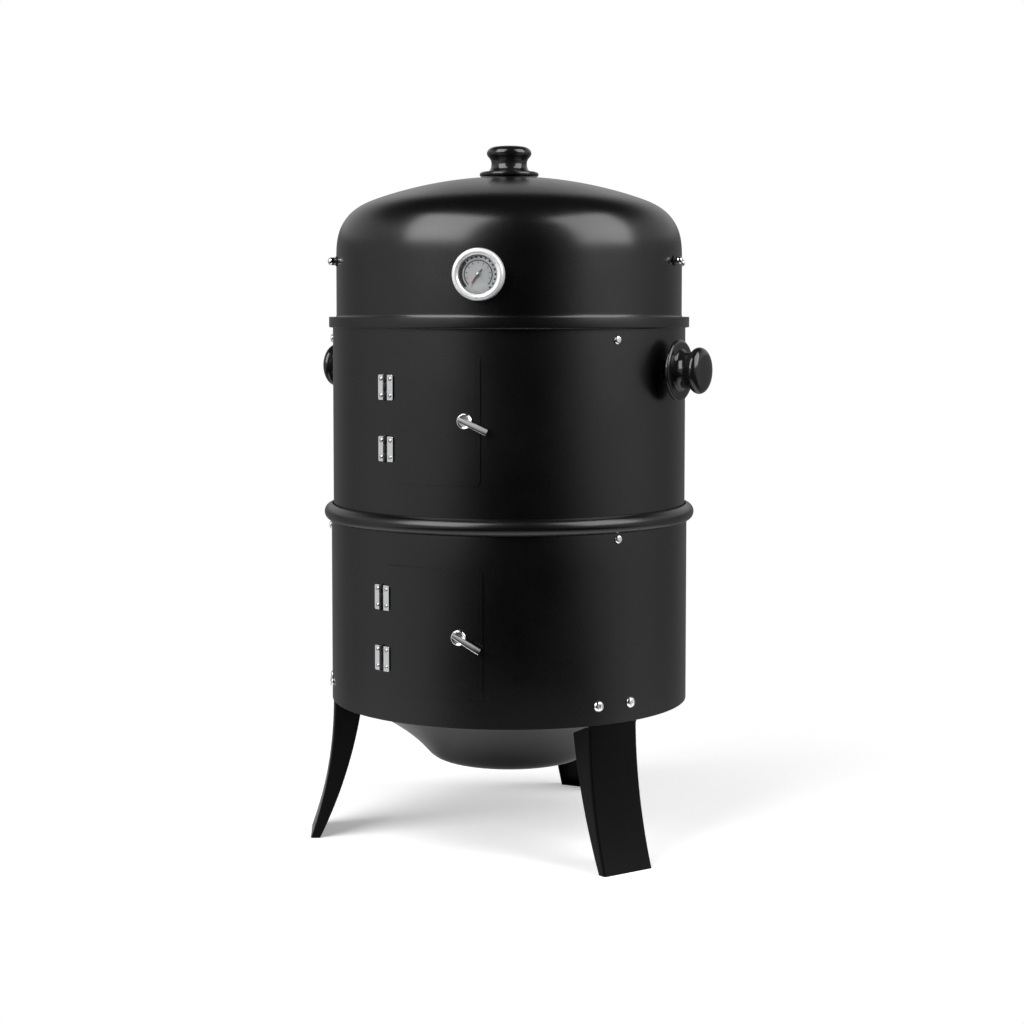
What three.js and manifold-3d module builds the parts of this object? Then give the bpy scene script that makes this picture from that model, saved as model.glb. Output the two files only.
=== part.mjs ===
// A vertical charcoal smoker: a domed lid, two stacked body rings with a door each, three legs,
// and a charcoal bowl, a water bowl and two cooking grates inside.
// Millimetres, +Z up, origin on the ground under the middle of the body, front towards -Y.
import * as THREE from "three";
import { mergeVertices } from "three/addons/utils/BufferGeometryUtils.js";
import Module from "manifold-3d";

const wasm = await Module();
wasm.setup();

// ---- Driving dimensions ----
const GAP = 0.3; // least clearance between pieces that touch
const SHEET = 0.8; // wall of the lid and the body rings
const ROUND = 32; // sides of the large rings
const MEDIUM = 20; // sides of the knobs and the thermometer
const SMALL = 12; // sides of pins, bosses and screws

const UPPER_RADIUS = 203.8; // outer radius of the upper ring, which the other rings follow
const LEG_HEIGHT = 159; // ground to the lower edge of the lower ring
const LOWER_HEIGHT = 207.8; // lower ring, from its edge to its bead
const UPPER_HEIGHT = 215.9; // upper ring, from its edge to its shelf
const RING_DIP = 13.3; // how far the upper ring drops below the top of the bead

const BEAD_REACH = 9.5; // radius of the half-round bead
const BEAD_SINK = 1; // how far the bead's centre lies inside the lower ring's wall
const RING_STEP = 2.4; // how much the lower ring is larger than the upper one
const SHELF_REACH = 4.3; // how far the shelf and flange stand out from the upper ring
const SHELF_BEVEL = 0.9;
const FLANGE_HEIGHT = 12.1; // shelf to the top of the flange
const LID_PLAY = 1.1; // radial play of the lid's skirt in the flange

const LID_INSET = 4.3; // how much the lid is smaller than the upper ring
const LID_SKIRT = 7; // straight skirt below the joggle
const LID_JOGGLE = 8.5; // height of the joggle
const LID_WALL = 76.3; // straight wall above the joggle
const LID_CORNER = 53.5; // radius of the shoulder
const LID_DOME = 465; // radius of the dome

const DOOR_HEIGHT = 140;
const DOOR_SHEET = 1;
const DOOR_LAP = 6; // how far a door laps over its doorway
const DOOR_CORNER = 6;
const DOOR_EDGE = 2.6; // hinge axis to the door's edge
const HINGE_SPACING = 67;
const LEAF_WIDTH = 11.5;
const LEAF_HEIGHT = 27.4;
const LEAF_SHEET = 1;
const KNUCKLE = 4.6; // half the height of the door leaf's knuckle
const BARREL_RADIUS = 2.2;
const PIN_RADIUS = 1.1;
const PIN_HEAD = 1.2;

const BOSS_RADIUS = 8.5;
const BOSS_HEIGHT = 5;
const LEVER_REACH = 28;
const LEVER_WIDTH = 7.6;
const LEVER_TAPER = 0.6; // how much narrower each side of the lever is at its boss
const SPINDLE_RADIUS = 3;
const SPINDLE_HEAD = 4.6;
const CAM_REACH = 21; // spindle to the tip of the cam
const CAM_TAIL = 7; // spindle to the other end of the cam
const CAM_WIDTH = 10;
const CAM_SHEET = 1.5;
const CAM_DEPTH = 6; // door to cam

const KNOB_RADIUS = 34; // flange of a knob
const KNOB_HEIGHT = 35;
const KNOB_FLANGE = 5.2; // thickness of the flange
const KNOB_NECK = 20.6; // radius of the waist
const KNOB_CAP = 25.8; // radius of the cap
const KNOB_TOP = 14.5; // radius of the flat on the cap
const KNOB_BORE = 12; // depth of the hole for the screw
const KNOB_STANDOFF = 11.4; // wall to the base of a side knob
const COLLAR_RADIUS = 11; // spacer behind a side knob
const KNOB_DROP = 46.9; // shelf down to the middle of the side knobs
const SCREW_RADIUS = 3;
const SCREW_HEAD = 6;
const SCREW_HEAD_HEIGHT = 3;

const GAUGE_RADIUS = 28;
const GAUGE_DEPTH = 13.5; // wall to the front of the bezel
const GAUGE_DROP = 35.6; // lid's shoulder down to the middle of the thermometer
const GAUGE_THREAD = 5;
const GAUGE_THREAD_LENGTH = 12;
const GAUGE_WINDOW = 7; // width of the bezel's front
const BEZEL_SHEET = 0.8;
const STEM_REACH = 54; // how far the stem reaches inside the lid
const STEM_RADIUS = 3;
const NUT_RADIUS = 8.5;
const NUT_HEIGHT = 5;
const NEEDLE_REACH = 11.6;
const NEEDLE_TAIL = 7;

const RAIL_BOLT = 2.5; // radius of the bolts in the lid's wall
const RAIL_DROP = 17.6; // lid's shoulder down to those bolts
const RAIL_HEIGHT = 14;
const RAIL_SHEET = 1.5;
const SADDLE_REACH = 14;
const SADDLE_WIDTH = 14;
const ROD_RADIUS = 3;
const ROD_DROP = 8; // lower edge of a rail down to the rod
const STUD_RADIUS = 4.5;
const STUD_LENGTH = 10.2;
const WASHER_RADIUS = 5.6;
const WASHER_HEIGHT = 1.2;

const BRACKET_WIDTH = 20;
const BRACKET_SHEET = 1.5;
const BRACKET_REACH = 22;
const BRACKET_STOP = 4; // how far the tab under the upper ring reaches out
const RIVET_RADIUS = 2;
const RIVET_HEAD = 4.65;
const RIVET_HEIGHT = 2.2;
const UPPER_SHELF_DROP = 22; // lid's shelf down to the upper grate's brackets
const UPPER_RIVET_DROP = 12.4;
const LOWER_SHELF_DROP = 15.3; // bead down to the water bowl's brackets
const LOWER_RIVET_DROP = 6.3;

const LEG_WIDTH = 65;
const LEG_SHEET = 1.5;
const LEG_CURVE = 481; // radius of the leg's outward sweep
const LEG_OVERLAP = 46; // how far the leg reaches up inside the lower ring
const LEG_STRAIGHT = 6; // how far the sweep starts above the ring's edge
const LEG_TRIM = 12; // length over which the flanges run out below the ring
const FOOT_DEPTH = 10.7; // depth of the channel at the foot
const LEG_TAPER = 0.128; // growth of that depth with height
const LEDGE_WIDTH = 24;
const LEDGE_REACH = 9.4;
const LEDGE_SHEET = 2;
const BOLT_HEAD = 6;
const BOLT_HEAD_HEIGHT = 3;
const BOLT_NUT = 2.4;
const BOLT_RISE = 21; // ring's lower edge up to the leg bolts
const BOLT_SPREAD = 6; // degrees from the leg's middle to a bolt

const BOWL_DEPTH = 77.5;
const BOWL_FLAT = 0.78; // share of its radius over which the bottom stays low
const BOWL_FLARE = 0.2; // share of its radius to which the side is drawn in below the lip
const BOWL_SHEET = 1;
const BOWL_PLAY = 10.9; // leg to the charcoal bowl's wall
const LIP_PLAY = 5.2; // leg to the edge of its lip
const LIP_RISE = 3.3; // ring's lower edge up to the lip
const WATER_DEPTH = 82;
const WATER_FLAT = 0.8;
const WATER_FLARE = 0.97;
const WATER_CURVE = 8; // rise of the water bowl's bottom corner
const RIM_PLAY = 7.8; // upper ring's wall to the water bowl's rim
const GRATE_BAR = 4.4;
const GRATE_RIM = 6;
const GRATE_PITCH = 24; // between the bars of a cooking grate
const GRATE_PLAY = 3; // water bowl's rim to the edge of the lower grate
const COAL_RADIUS = 115;
const COAL_PITCH = 28; // between the bars of the charcoal grate

// Azimuths in degrees, anticlockwise from +X as seen from above.
const LEG_AZIMUTHS = [-56, 64, 184];
const BRACKET_AZIMUTHS = [-55, 65, 185];
const KNOB_AZIMUTHS = [-30, 150];
const RAIL_AZIMUTHS = [-6, 174];
const RAIL_SPREAD = 16; // degrees from a rail's middle to its bolts
const GAUGE_AZIMUTH = -99.1;
const NEEDLE_BEARING = 217; // clockwise from straight up, seen from outside

// ---- Dimensions that follow ----
const LOWER_RADIUS = UPPER_RADIUS + RING_STEP;
const FLANGE_RADIUS = UPPER_RADIUS + SHELF_REACH;
const LID_RADIUS = UPPER_RADIUS - LID_INSET;
const SKIRT_RADIUS = FLANGE_RADIUS - SHEET - LID_PLAY;
const BEAD_BOTTOM = LEG_HEIGHT + LOWER_HEIGHT;
const BEAD_MIDDLE = BEAD_BOTTOM + BEAD_REACH;
const UPPER_BOTTOM = BEAD_BOTTOM + 2 * BEAD_REACH - RING_DIP;
const SHELF_BOTTOM = UPPER_BOTTOM + UPPER_HEIGHT;
const LID_BOTTOM = SHELF_BOTTOM + SHEET + GAP;
const LID_SHOULDER = LID_BOTTOM + LID_SKIRT + LID_JOGGLE + LID_WALL;
const SHOULDER_RADIUS = LID_RADIUS - LID_CORNER;
const DOME_CENTRE = LID_SHOULDER - Math.sqrt((LID_DOME - LID_CORNER) ** 2 - SHOULDER_RADIUS ** 2);
const LID_TOP = DOME_CENTRE + LID_DOME;
const GAUGE_HEIGHT = LID_SHOULDER - GAUGE_DROP;
const RAIL_LEVEL = LID_SHOULDER - RAIL_DROP;
const KNOB_LEVEL = SHELF_BOTTOM - KNOB_DROP;
const UPPER_SHELF = SHELF_BOTTOM - UPPER_SHELF_DROP;
const UPPER_RIVET = SHELF_BOTTOM - UPPER_RIVET_DROP;
const LOWER_SHELF = BEAD_BOTTOM - LOWER_SHELF_DROP;
const LOWER_RIVET = BEAD_BOTTOM - LOWER_RIVET_DROP;
const BOLT_LEVEL = LEG_HEIGHT + BOLT_RISE;
const LEG_SEAT = seatIn(LOWER_RADIUS - SHEET, LEG_WIDTH / 2);
const LEG_BEND = LEG_HEIGHT + LEG_STRAIGHT;
const LIP_BOTTOM = LEG_HEIGHT + LIP_RISE;
const BOWL_RADIUS = LEG_SEAT - BOWL_PLAY;
const LIP_RADIUS = LEG_SEAT - LIP_PLAY;
const RIM_RADIUS = UPPER_RADIUS - RIM_PLAY;
const WATER_RIM = LOWER_SHELF + GAP;
const WATER_RADIUS = seatIn(LOWER_RADIUS - SHEET, BRACKET_WIDTH / 2) - BRACKET_REACH - 2;
const HOLE_RADIUS = SCREW_RADIUS + GAP;

const RAIL_BOLT_AZIMUTHS = RAIL_AZIMUTHS.flatMap((middle) => [middle - RAIL_SPREAD, middle + RAIL_SPREAD]);
const LEG_BOLT_AZIMUTHS = LEG_AZIMUTHS.flatMap((middle) => [middle - BOLT_SPREAD, middle + BOLT_SPREAD]);

// Each door: its wall, its middle, its hinge's azimuth, its width and where its latch sits.
// latchReach is the way along the wall from the hinge to the latch.
const UPPER_DOOR = {
  name: "upper", wall: UPPER_RADIUS, middle: UPPER_BOTTOM + UPPER_HEIGHT / 2 + 10.5,
  hinge: -130.7, width: 111, latchReach: 97.46, latchDrop: 1, leverDroop: 24,
};
const LOWER_DOOR = {
  name: "lower", wall: LOWER_RADIUS, middle: LEG_HEIGHT + LOWER_HEIGHT / 2 - 1.5,
  hinge: -131.9, width: 119.5, latchReach: 96.81, latchDrop: 3.4, leverDroop: 29,
};

// ---- Geometry helpers ----
function radians(angle) {
  return THREE.MathUtils.degToRad(angle);
}

function degrees(angle) {
  return THREE.MathUtils.radToDeg(angle);
}

// The greatest distance from the axis at which a flat plate fits inside a ring.
function seatIn(innerRadius, halfWidth) {
  return Math.sqrt((innerRadius * Math.cos(Math.PI / ROUND)) ** 2 - halfWidth ** 2) - GAP;
}

// A full turn about +Z of [radius, height] points, closed back to the first.
function lathe(points, sides = ROUND) {
  const outline = [...points, points[0]].map(([r, z]) => new THREE.Vector2(r, z));
  return new THREE.LatheGeometry(outline, sides).rotateX(Math.PI / 2);
}

// A full turn about +X of [radius, distance] points, for what stands out of a wall.
function spindle(points, sides = SMALL) {
  return lathe(points, sides).rotateY(Math.PI / 2);
}

// The outline of a plain cylinder, and one laid along +X.
const rod = (radius, from, to) => [[0, from], [radius, from], [radius, to], [0, to]];
const bar = (radius, from, to, sides = SMALL) => spindle(rod(radius, from, to), sides);

// A geometry raised to a height and turned about the body's axis.
const at = (geometry, height, azimuth = 0) => geometry.translate(0, 0, height).rotateZ(radians(azimuth));

// Round holes through a wall at a height and several azimuths.
function wallHoles(radius, wall, height, azimuths) {
  return azimuths.map((azimuth) => at(bar(radius, wall - 10, wall + 10), height, azimuth));
}

// A block between two corners.
function block([x0, y0, z0], [x1, y1, z1]) {
  const box = new THREE.BoxGeometry(x1 - x0, y1 - y0, z1 - z0);
  return box.translate((x0 + x1) / 2, (y0 + y1) / 2, (z0 + z1) / 2);
}

// A plate curved about +Z, between two radii, two azimuths in degrees and two heights.
function curvedPlate([r0, r1], [from, to], [z0, z1], steps = 8) {
  const shape = new THREE.Shape();
  shape.absarc(0, 0, r1, radians(from), radians(to), false);
  shape.absarc(0, 0, r0, radians(to), radians(from), true);
  const settings = { depth: z1 - z0, bevelEnabled: false, curveSegments: steps };
  return new THREE.ExtrudeGeometry(shape, settings).translate(0, 0, z0);
}

// A closed outline of [y, z] points, extruded from x0 to x1.
function facing(points, x0, x1) {
  const shape = new THREE.Shape(points.map(([y, z]) => new THREE.Vector2(y, z)));
  const settings = { depth: x1 - x0, bevelEnabled: false };
  const turn = new THREE.Matrix4().makeBasis(
    new THREE.Vector3(0, 1, 0), new THREE.Vector3(0, 0, 1), new THREE.Vector3(1, 0, 0),
  );
  return new THREE.ExtrudeGeometry(shape, settings).applyMatrix4(turn).translate(x0, 0, 0);
}

// A closed outline of [x, z] points, extruded from y0 to y1.
function sideways(points, y0, y1) {
  const shape = new THREE.Shape(points.map(([x, z]) => new THREE.Vector2(x, z)));
  const settings = { depth: y1 - y0, bevelEnabled: false };
  return new THREE.ExtrudeGeometry(shape, settings).rotateX(Math.PI / 2).translate(0, y1, 0);
}

// The [y, z] outline of a rectangle with rounded corners, about (0, middle).
function roundedOutline(halfWidth, halfHeight, middle, corner, steps = 3) {
  const points = [];
  const corners = [[1, 1, 0], [-1, 1, 90], [-1, -1, 180], [1, -1, 270]];
  for (const [side, end, start] of corners) {
    for (let i = 0; i <= steps; i++) {
      const angle = radians(start + (90 * i) / steps);
      const y = side * (halfWidth - corner) + corner * Math.cos(angle);
      const z = middle + end * (halfHeight - corner) + corner * Math.sin(angle);
      points.push([y, z]);
    }
  }
  return points;
}

// [radius, height] points along an arc, with its angles in degrees from the outward direction.
function arc([centreRadius, centreHeight], radius, [from, to], steps) {
  return Array.from({ length: steps + 1 }, (_, i) => {
    const angle = radians(from + ((to - from) * i) / steps);
    return [centreRadius + radius * Math.cos(angle), centreHeight + radius * Math.sin(angle)];
  });
}

// The closed solid of a geometry, with its faces pointing out.
function solid(geometry) {
  geometry.deleteAttribute("normal");
  geometry.deleteAttribute("uv");
  const merged = mergeVertices(geometry, 1e-4);
  const corners = merged.index.array;
  const kept = [];
  for (let i = 0; i < corners.length; i += 3) {
    const [a, b, c] = [corners[i], corners[i + 1], corners[i + 2]];
    if (a !== b && b !== c && c !== a) kept.push(a, b, c);
  }
  const vertProperties = merged.attributes.position.array;
  const triVerts = Uint32Array.from(kept);
  const made = new wasm.Manifold(new wasm.Mesh({ numProp: 3, vertProperties, triVerts }));
  if (made.volume() > 0) return made;
  triVerts.reverse();
  return new wasm.Manifold(new wasm.Mesh({ numProp: 3, vertProperties, triVerts }));
}

const join = (geometries) => geometries.map(solid).reduce((whole, next) => whole.add(next));
const cut = (whole, geometries) => geometries.map(solid).reduce((left, next) => left.subtract(next), whole);

// ---- Materials ----
const enamel = { color: 0x15161a, roughness: 0.42, metalness: 0.2 };
const chrome = { color: 0xd6d8da, roughness: 0.14, metalness: 1 };
const steel = { color: 0x8e9092, roughness: 0.35, metalness: 1 };
const bakelite = { color: 0x0b0b0c, roughness: 0.16, metalness: 0 };
const castIron = { color: 0x17181a, roughness: 0.6, metalness: 0.3 };
const dialFace = { color: 0xc9cbcc, roughness: 0.5, metalness: 0.1 };
const needleRed = { color: 0xb3201a, roughness: 0.5, metalness: 0 };
const glass = { color: 0xffffff, roughness: 0.03, metalness: 0, transparent: true, opacity: 0.25 };

const smoker = new THREE.Group();

// A named mesh of a solid, turned about the body's axis to an azimuth.
function place(name, made, finish, azimuth = 0) {
  const { vertProperties, triVerts } = made.getMesh();
  const geometry = new THREE.BufferGeometry();
  geometry.setAttribute("position", new THREE.BufferAttribute(vertProperties, 3));
  geometry.setIndex(new THREE.BufferAttribute(triVerts, 1));
  geometry.computeVertexNormals();
  const mesh = new THREE.Mesh(geometry, new THREE.MeshStandardMaterial({ ...finish, flatShading: true }));
  mesh.name = name;
  mesh.rotation.z = radians(azimuth);
  smoker.add(mesh);
}

// ---- Knob: a mushroom on a round flange, with a blind hole for its screw ----
function knobOutline(base) {
  const outline = [
    [0, KNOB_BORE], [HOLE_RADIUS, KNOB_BORE], [HOLE_RADIUS, 0],
    [KNOB_RADIUS - 1.4, 0], [KNOB_RADIUS, 1.6], [KNOB_RADIUS, KNOB_FLANGE - 1.4],
    [KNOB_RADIUS - 1.8, KNOB_FLANGE], [KNOB_NECK + 2.8, KNOB_FLANGE + 1.6],
    [KNOB_NECK + 0.2, KNOB_FLANGE + 6.8], [KNOB_NECK, KNOB_FLANGE + 11.8],
    [KNOB_CAP - 0.8, KNOB_HEIGHT - 11.4], [KNOB_CAP, KNOB_HEIGHT - 8.8], [KNOB_CAP - 1.4, KNOB_HEIGHT - 5.4],
    [KNOB_CAP - 5.8, KNOB_HEIGHT - 2], [KNOB_TOP, KNOB_HEIGHT - 0.4], [0, KNOB_HEIGHT],
  ];
  return outline.map(([r, h]) => [r, base + h]);
}

// The screw of a knob, from below its head to just short of the end of the knob's hole.
function knobScrew(headTop, knobBase) {
  const headBottom = headTop - SCREW_HEAD_HEIGHT;
  const end = knobBase + KNOB_BORE - 1;
  return [
    [0, headBottom], [SCREW_HEAD, headBottom], [SCREW_HEAD, headTop],
    [SCREW_RADIUS, headTop], [SCREW_RADIUS, end], [0, end],
  ];
}

// ---- Lid ----
// The lid's side from its lower edge to the hole for the knob's screw, inset by the sheet or by nothing.
function lidSide(inset) {
  const shoulderAngle = degrees(Math.atan2(LID_SHOULDER - DOME_CENTRE, SHOULDER_RADIUS));
  const topAngle = degrees(Math.acos(HOLE_RADIUS / (LID_DOME - inset)));
  const skirtTop = LID_BOTTOM + LID_SKIRT;
  return [
    [SKIRT_RADIUS - inset, LID_BOTTOM],
    [SKIRT_RADIUS - inset, skirtTop],
    [LID_RADIUS - inset, skirtTop + LID_JOGGLE],
    ...arc([SHOULDER_RADIUS, LID_SHOULDER], LID_CORNER - inset, [0, shoulderAngle], 4),
    ...arc([0, DOME_CENTRE], LID_DOME - inset, [shoulderAngle, topAngle], 3).slice(1),
  ];
}

function makeLid() {
  const shell = solid(lathe([...lidSide(0), ...lidSide(SHEET).reverse()]));
  const [gaugeHole] = wallHoles(GAUGE_THREAD + 2 * GAP, LID_RADIUS, GAUGE_HEIGHT, [GAUGE_AZIMUTH]);
  const boltHoles = wallHoles(RAIL_BOLT + GAP, LID_RADIUS, RAIL_LEVEL, RAIL_BOLT_AZIMUTHS);
  place("lid_shell", cut(shell, [gaugeHole, ...boltHoles]), enamel);

  const knobBase = LID_TOP + GAP;
  place("lid_knob", solid(lathe(knobOutline(knobBase), MEDIUM)), bakelite);
  const screw = lathe(knobScrew(LID_TOP - SHEET - 2 * GAP, knobBase), SMALL);
  place("lid_knob_screw", solid(screw), steel);
}

// ---- Thermometer, in a frame whose +X points out of the lid's wall ----
function makeThermometer() {
  const back = LID_RADIUS + 2 * GAP;
  const front = LID_RADIUS + GAUGE_DEPTH;
  const caseRadius = GAUGE_RADIUS - BEZEL_SHEET - GAP;
  const insideRadius = caseRadius - SHEET;
  const caseFront = front - 2.8;
  const dialFront = front - 6.8;
  const needleBack = dialFront + 2 * GAP;
  const lensBack = front - 4.2;
  const lensFront = front - 2.9;
  const put = (name, made, finish) => place(name, made, finish, GAUGE_AZIMUTH);

  const cup = spindle([
    [0, LID_RADIUS - STEM_REACH], [STEM_RADIUS, LID_RADIUS - STEM_REACH],
    [STEM_RADIUS, LID_RADIUS - GAUGE_THREAD_LENGTH], [GAUGE_THREAD, LID_RADIUS - GAUGE_THREAD_LENGTH],
    [GAUGE_THREAD, back], [caseRadius, back], [caseRadius, caseFront], [insideRadius, caseFront],
    [insideRadius, back + 4 * GAP], [0, back + 4 * GAP],
  ], MEDIUM);
  put("thermometer_case", solid(at(cup, GAUGE_HEIGHT)), steel);

  const hubRadius = 1;
  const dial = solid(at(bar(insideRadius - GAP, dialFront - 2 * GAP, dialFront, MEDIUM), GAUGE_HEIGHT));
  const dialHole = at(bar(hubRadius + GAP, back, front), GAUGE_HEIGHT);
  put("thermometer_dial", cut(dial, [dialHole]), dialFace);

  const outline = [
    [-0.5, NEEDLE_REACH], [-1, 0], [-0.8, -NEEDLE_TAIL], [0.8, -NEEDLE_TAIL], [1, 0], [0.5, NEEDLE_REACH],
  ];
  const pointer = facing(outline, needleBack + 0.2, needleBack + 1);
  const capRadius = 2.6;
  const hub = spindle([
    [0, dialFront - 2.2], [hubRadius, dialFront - 2.2], [hubRadius, needleBack - 0.2],
    [capRadius, needleBack - 0.2], [capRadius, needleBack + 1.4], [0, needleBack + 1.4],
  ]);
  const needle = [pointer, hub].map((piece) => at(piece.rotateX(-radians(NEEDLE_BEARING)), GAUGE_HEIGHT));
  put("thermometer_needle", join(needle), needleRed);

  const lens = bar(insideRadius - GAP, lensBack, lensFront, MEDIUM);
  put("thermometer_lens", solid(at(lens, GAUGE_HEIGHT)), glass);

  const windowRadius = GAUGE_RADIUS - GAUGE_WINDOW;
  const bezelBack = caseFront + 0.4;
  const bezel = spindle([
    [GAUGE_RADIUS - BEZEL_SHEET, back + 1.5], [GAUGE_RADIUS, back + 1.5], [GAUGE_RADIUS, front - 2.2],
    [GAUGE_RADIUS - 1.4, front - 0.6], [GAUGE_RADIUS - 4, front], [windowRadius, front - 1.4],
    [windowRadius, bezelBack], [GAUGE_RADIUS - BEZEL_SHEET, bezelBack],
  ], MEDIUM);
  put("thermometer_bezel", solid(at(bezel, GAUGE_HEIGHT)), chrome);

  const nutOuter = seatIn(LID_RADIUS - SHEET, NUT_RADIUS);
  const nut = solid(at(bar(NUT_RADIUS, nutOuter - NUT_HEIGHT, nutOuter, 6), GAUGE_HEIGHT));
  const nutHole = at(bar(GAUGE_THREAD + GAP, nutOuter - 2 * NUT_HEIGHT, back), GAUGE_HEIGHT);
  put("thermometer_nut", cut(nut, [nutHole]), steel);
}

// ---- Hanging rod inside the lid, on two rails held by bolts ----
function makeRails() {
  const outer = LID_RADIUS - SHEET - 1.5;
  const inner = outer - RAIL_SHEET;
  const bottom = RAIL_LEVEL - RAIL_HEIGHT / 2;
  const rodHeight = bottom - ROD_DROP;
  const overhang = RAIL_SPREAD + 3;
  const rail = curvedPlate([inner, outer], [-overhang, overhang], [bottom, bottom + RAIL_HEIGHT]);
  const halfSaddle = SADDLE_WIDTH / 2;
  const saddleBottom = rodHeight - 2 * ROD_RADIUS;
  const saddleTop = bottom + 2;
  const saddle = block(
    [inner - SADDLE_REACH, -halfSaddle, saddleBottom],
    [inner + RAIL_SHEET / 2, halfSaddle, saddleTop],
  );
  const slotHalf = ROD_RADIUS + GAP;
  const slot = block([0, -slotHalf, rodHeight - slotHalf], [inner - GAP, slotHalf, saddleTop + 2]);
  const boltHoles = [-RAIL_SPREAD, RAIL_SPREAD].map((azimuth) =>
    at(bar(RAIL_BOLT + GAP, inner - 10, outer + 10), RAIL_LEVEL, azimuth));
  const bracket = cut(join([rail, saddle]), [slot, ...boltHoles]);
  RAIL_AZIMUTHS.forEach((azimuth, i) => place(`rail_bracket_${i + 1}`, bracket, steel, azimuth));

  const half = inner - 2 * GAP;
  place("hanging_rod", solid(at(bar(ROD_RADIUS, -half, half), rodHeight)), steel, RAIL_AZIMUTHS[0]);

  const seat = LID_RADIUS + GAP;
  const tip = inner - 5;
  const bolt = solid(at(spindle([
    [0, tip], [RAIL_BOLT, tip], [RAIL_BOLT, seat], [WASHER_RADIUS, seat],
    [WASHER_RADIUS, seat + WASHER_HEIGHT], [STUD_RADIUS, seat + WASHER_HEIGHT],
    [STUD_RADIUS, seat + STUD_LENGTH - 2.8], [STUD_RADIUS - 1.5, seat + STUD_LENGTH - 0.6],
    [0, seat + STUD_LENGTH],
  ]), RAIL_LEVEL));
  RAIL_BOLT_AZIMUTHS.forEach((azimuth, i) => place(`lid_bolt_${i + 1}`, bolt, chrome, azimuth));
}

// ---- Doors, with their hinges and latches ----
const doorInner = (door) => door.wall + 2 * GAP;
const doorOuter = (door) => doorInner(door) + DOOR_SHEET;
const doorFrom = (door) => door.hinge + degrees(DOOR_EDGE / door.wall);
const doorTo = (door) => door.hinge + degrees((door.width + DOOR_EDGE) / door.wall);
const doorMiddle = (door) => (doorFrom(door) + doorTo(door)) / 2;
const latchHeight = (door) => door.middle - door.latchDrop;
const latchAzimuth = (door) => door.hinge + degrees(door.latchReach / door.wall);

// A door-shaped block through the wall, smaller than the door by a margin all round.
function doorCutter(door, margin) {
  const halfAngle = radians(doorTo(door) - doorFrom(door)) / 2 - margin / door.wall;
  const halfWidth = doorOuter(door) * Math.sin(halfAngle);
  const outline = roundedOutline(halfWidth, DOOR_HEIGHT / 2 - margin, door.middle, DOOR_CORNER);
  const through = facing(outline, door.wall - DOOR_HEIGHT / 4, door.wall + DOOR_HEIGHT / 4);
  return through.rotateZ(radians(doorMiddle(door)));
}

function makeDoor(door) {
  const half = DOOR_HEIGHT / 2 + 1;
  const azimuths = [doorFrom(door) - 1, doorTo(door) + 1];
  const heights = [door.middle - half, door.middle + half];
  const panel = curvedPlate([doorInner(door), doorOuter(door)], azimuths, heights, 9);
  const spindleHole = bar(SPINDLE_RADIUS + GAP, door.wall - CAM_REACH, door.wall + CAM_REACH);
  const trimmed = solid(panel).intersect(solid(doorCutter(door, 0)));
  place(`${door.name}_door`, cut(trimmed, [at(spindleHole, latchHeight(door), latchAzimuth(door))]), enamel);
}

function makeHinge(door, name, height) {
  const axis = doorOuter(door) + GAP + 1.2;
  const half = LEAF_HEIGHT / 2;
  const upright = (radius, z0, z1) => lathe(rod(radius, z0, z1), SMALL).translate(axis, 0, height);
  const bore = () => upright(PIN_RADIUS + GAP, -half - 1, half + 1);
  const reach = BARREL_RADIUS + GAP;
  const room = (z0, z1) => block([door.wall - 5, -reach, height + z0], [axis + 5, reach, height + z1]);
  const put = (piece, made, finish) => place(`${door.name}_${name}_${piece}`, made, finish, door.hinge);

  const frameX = door.wall + 1.3 * GAP;
  const framePlate = block([frameX, -LEAF_WIDTH, height - half], [frameX + LEAF_SHEET, 0, height + half]);
  const frameLeaf = join([framePlate, upright(BARREL_RADIUS, -half, half)]);
  put("frame_leaf", cut(frameLeaf, [room(-KNUCKLE - GAP, KNUCKLE + GAP), bore()]), chrome);

  const doorX = doorOuter(door) + GAP;
  const doorPlate = block([doorX, 0, height - half], [doorX + LEAF_SHEET, LEAF_WIDTH, height + half]);
  const doorLeaf = join([doorPlate, upright(BARREL_RADIUS, -KNUCKLE, KNUCKLE)]);
  put("door_leaf", cut(doorLeaf, [room(-half - 1, -KNUCKLE), room(KNUCKLE, half + 1), bore()]), chrome);

  const tip = half + GAP;
  const pin = lathe([
    [0, -tip - PIN_HEAD / 2], [PIN_RADIUS, -tip - PIN_HEAD / 2], [PIN_RADIUS, tip], [BARREL_RADIUS, tip],
    [BARREL_RADIUS - PIN_HEAD / 2, tip + 1], [0, tip + PIN_HEAD],
  ], SMALL);
  put("pin", solid(pin.translate(axis, 0, height)), steel);
}

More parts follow.
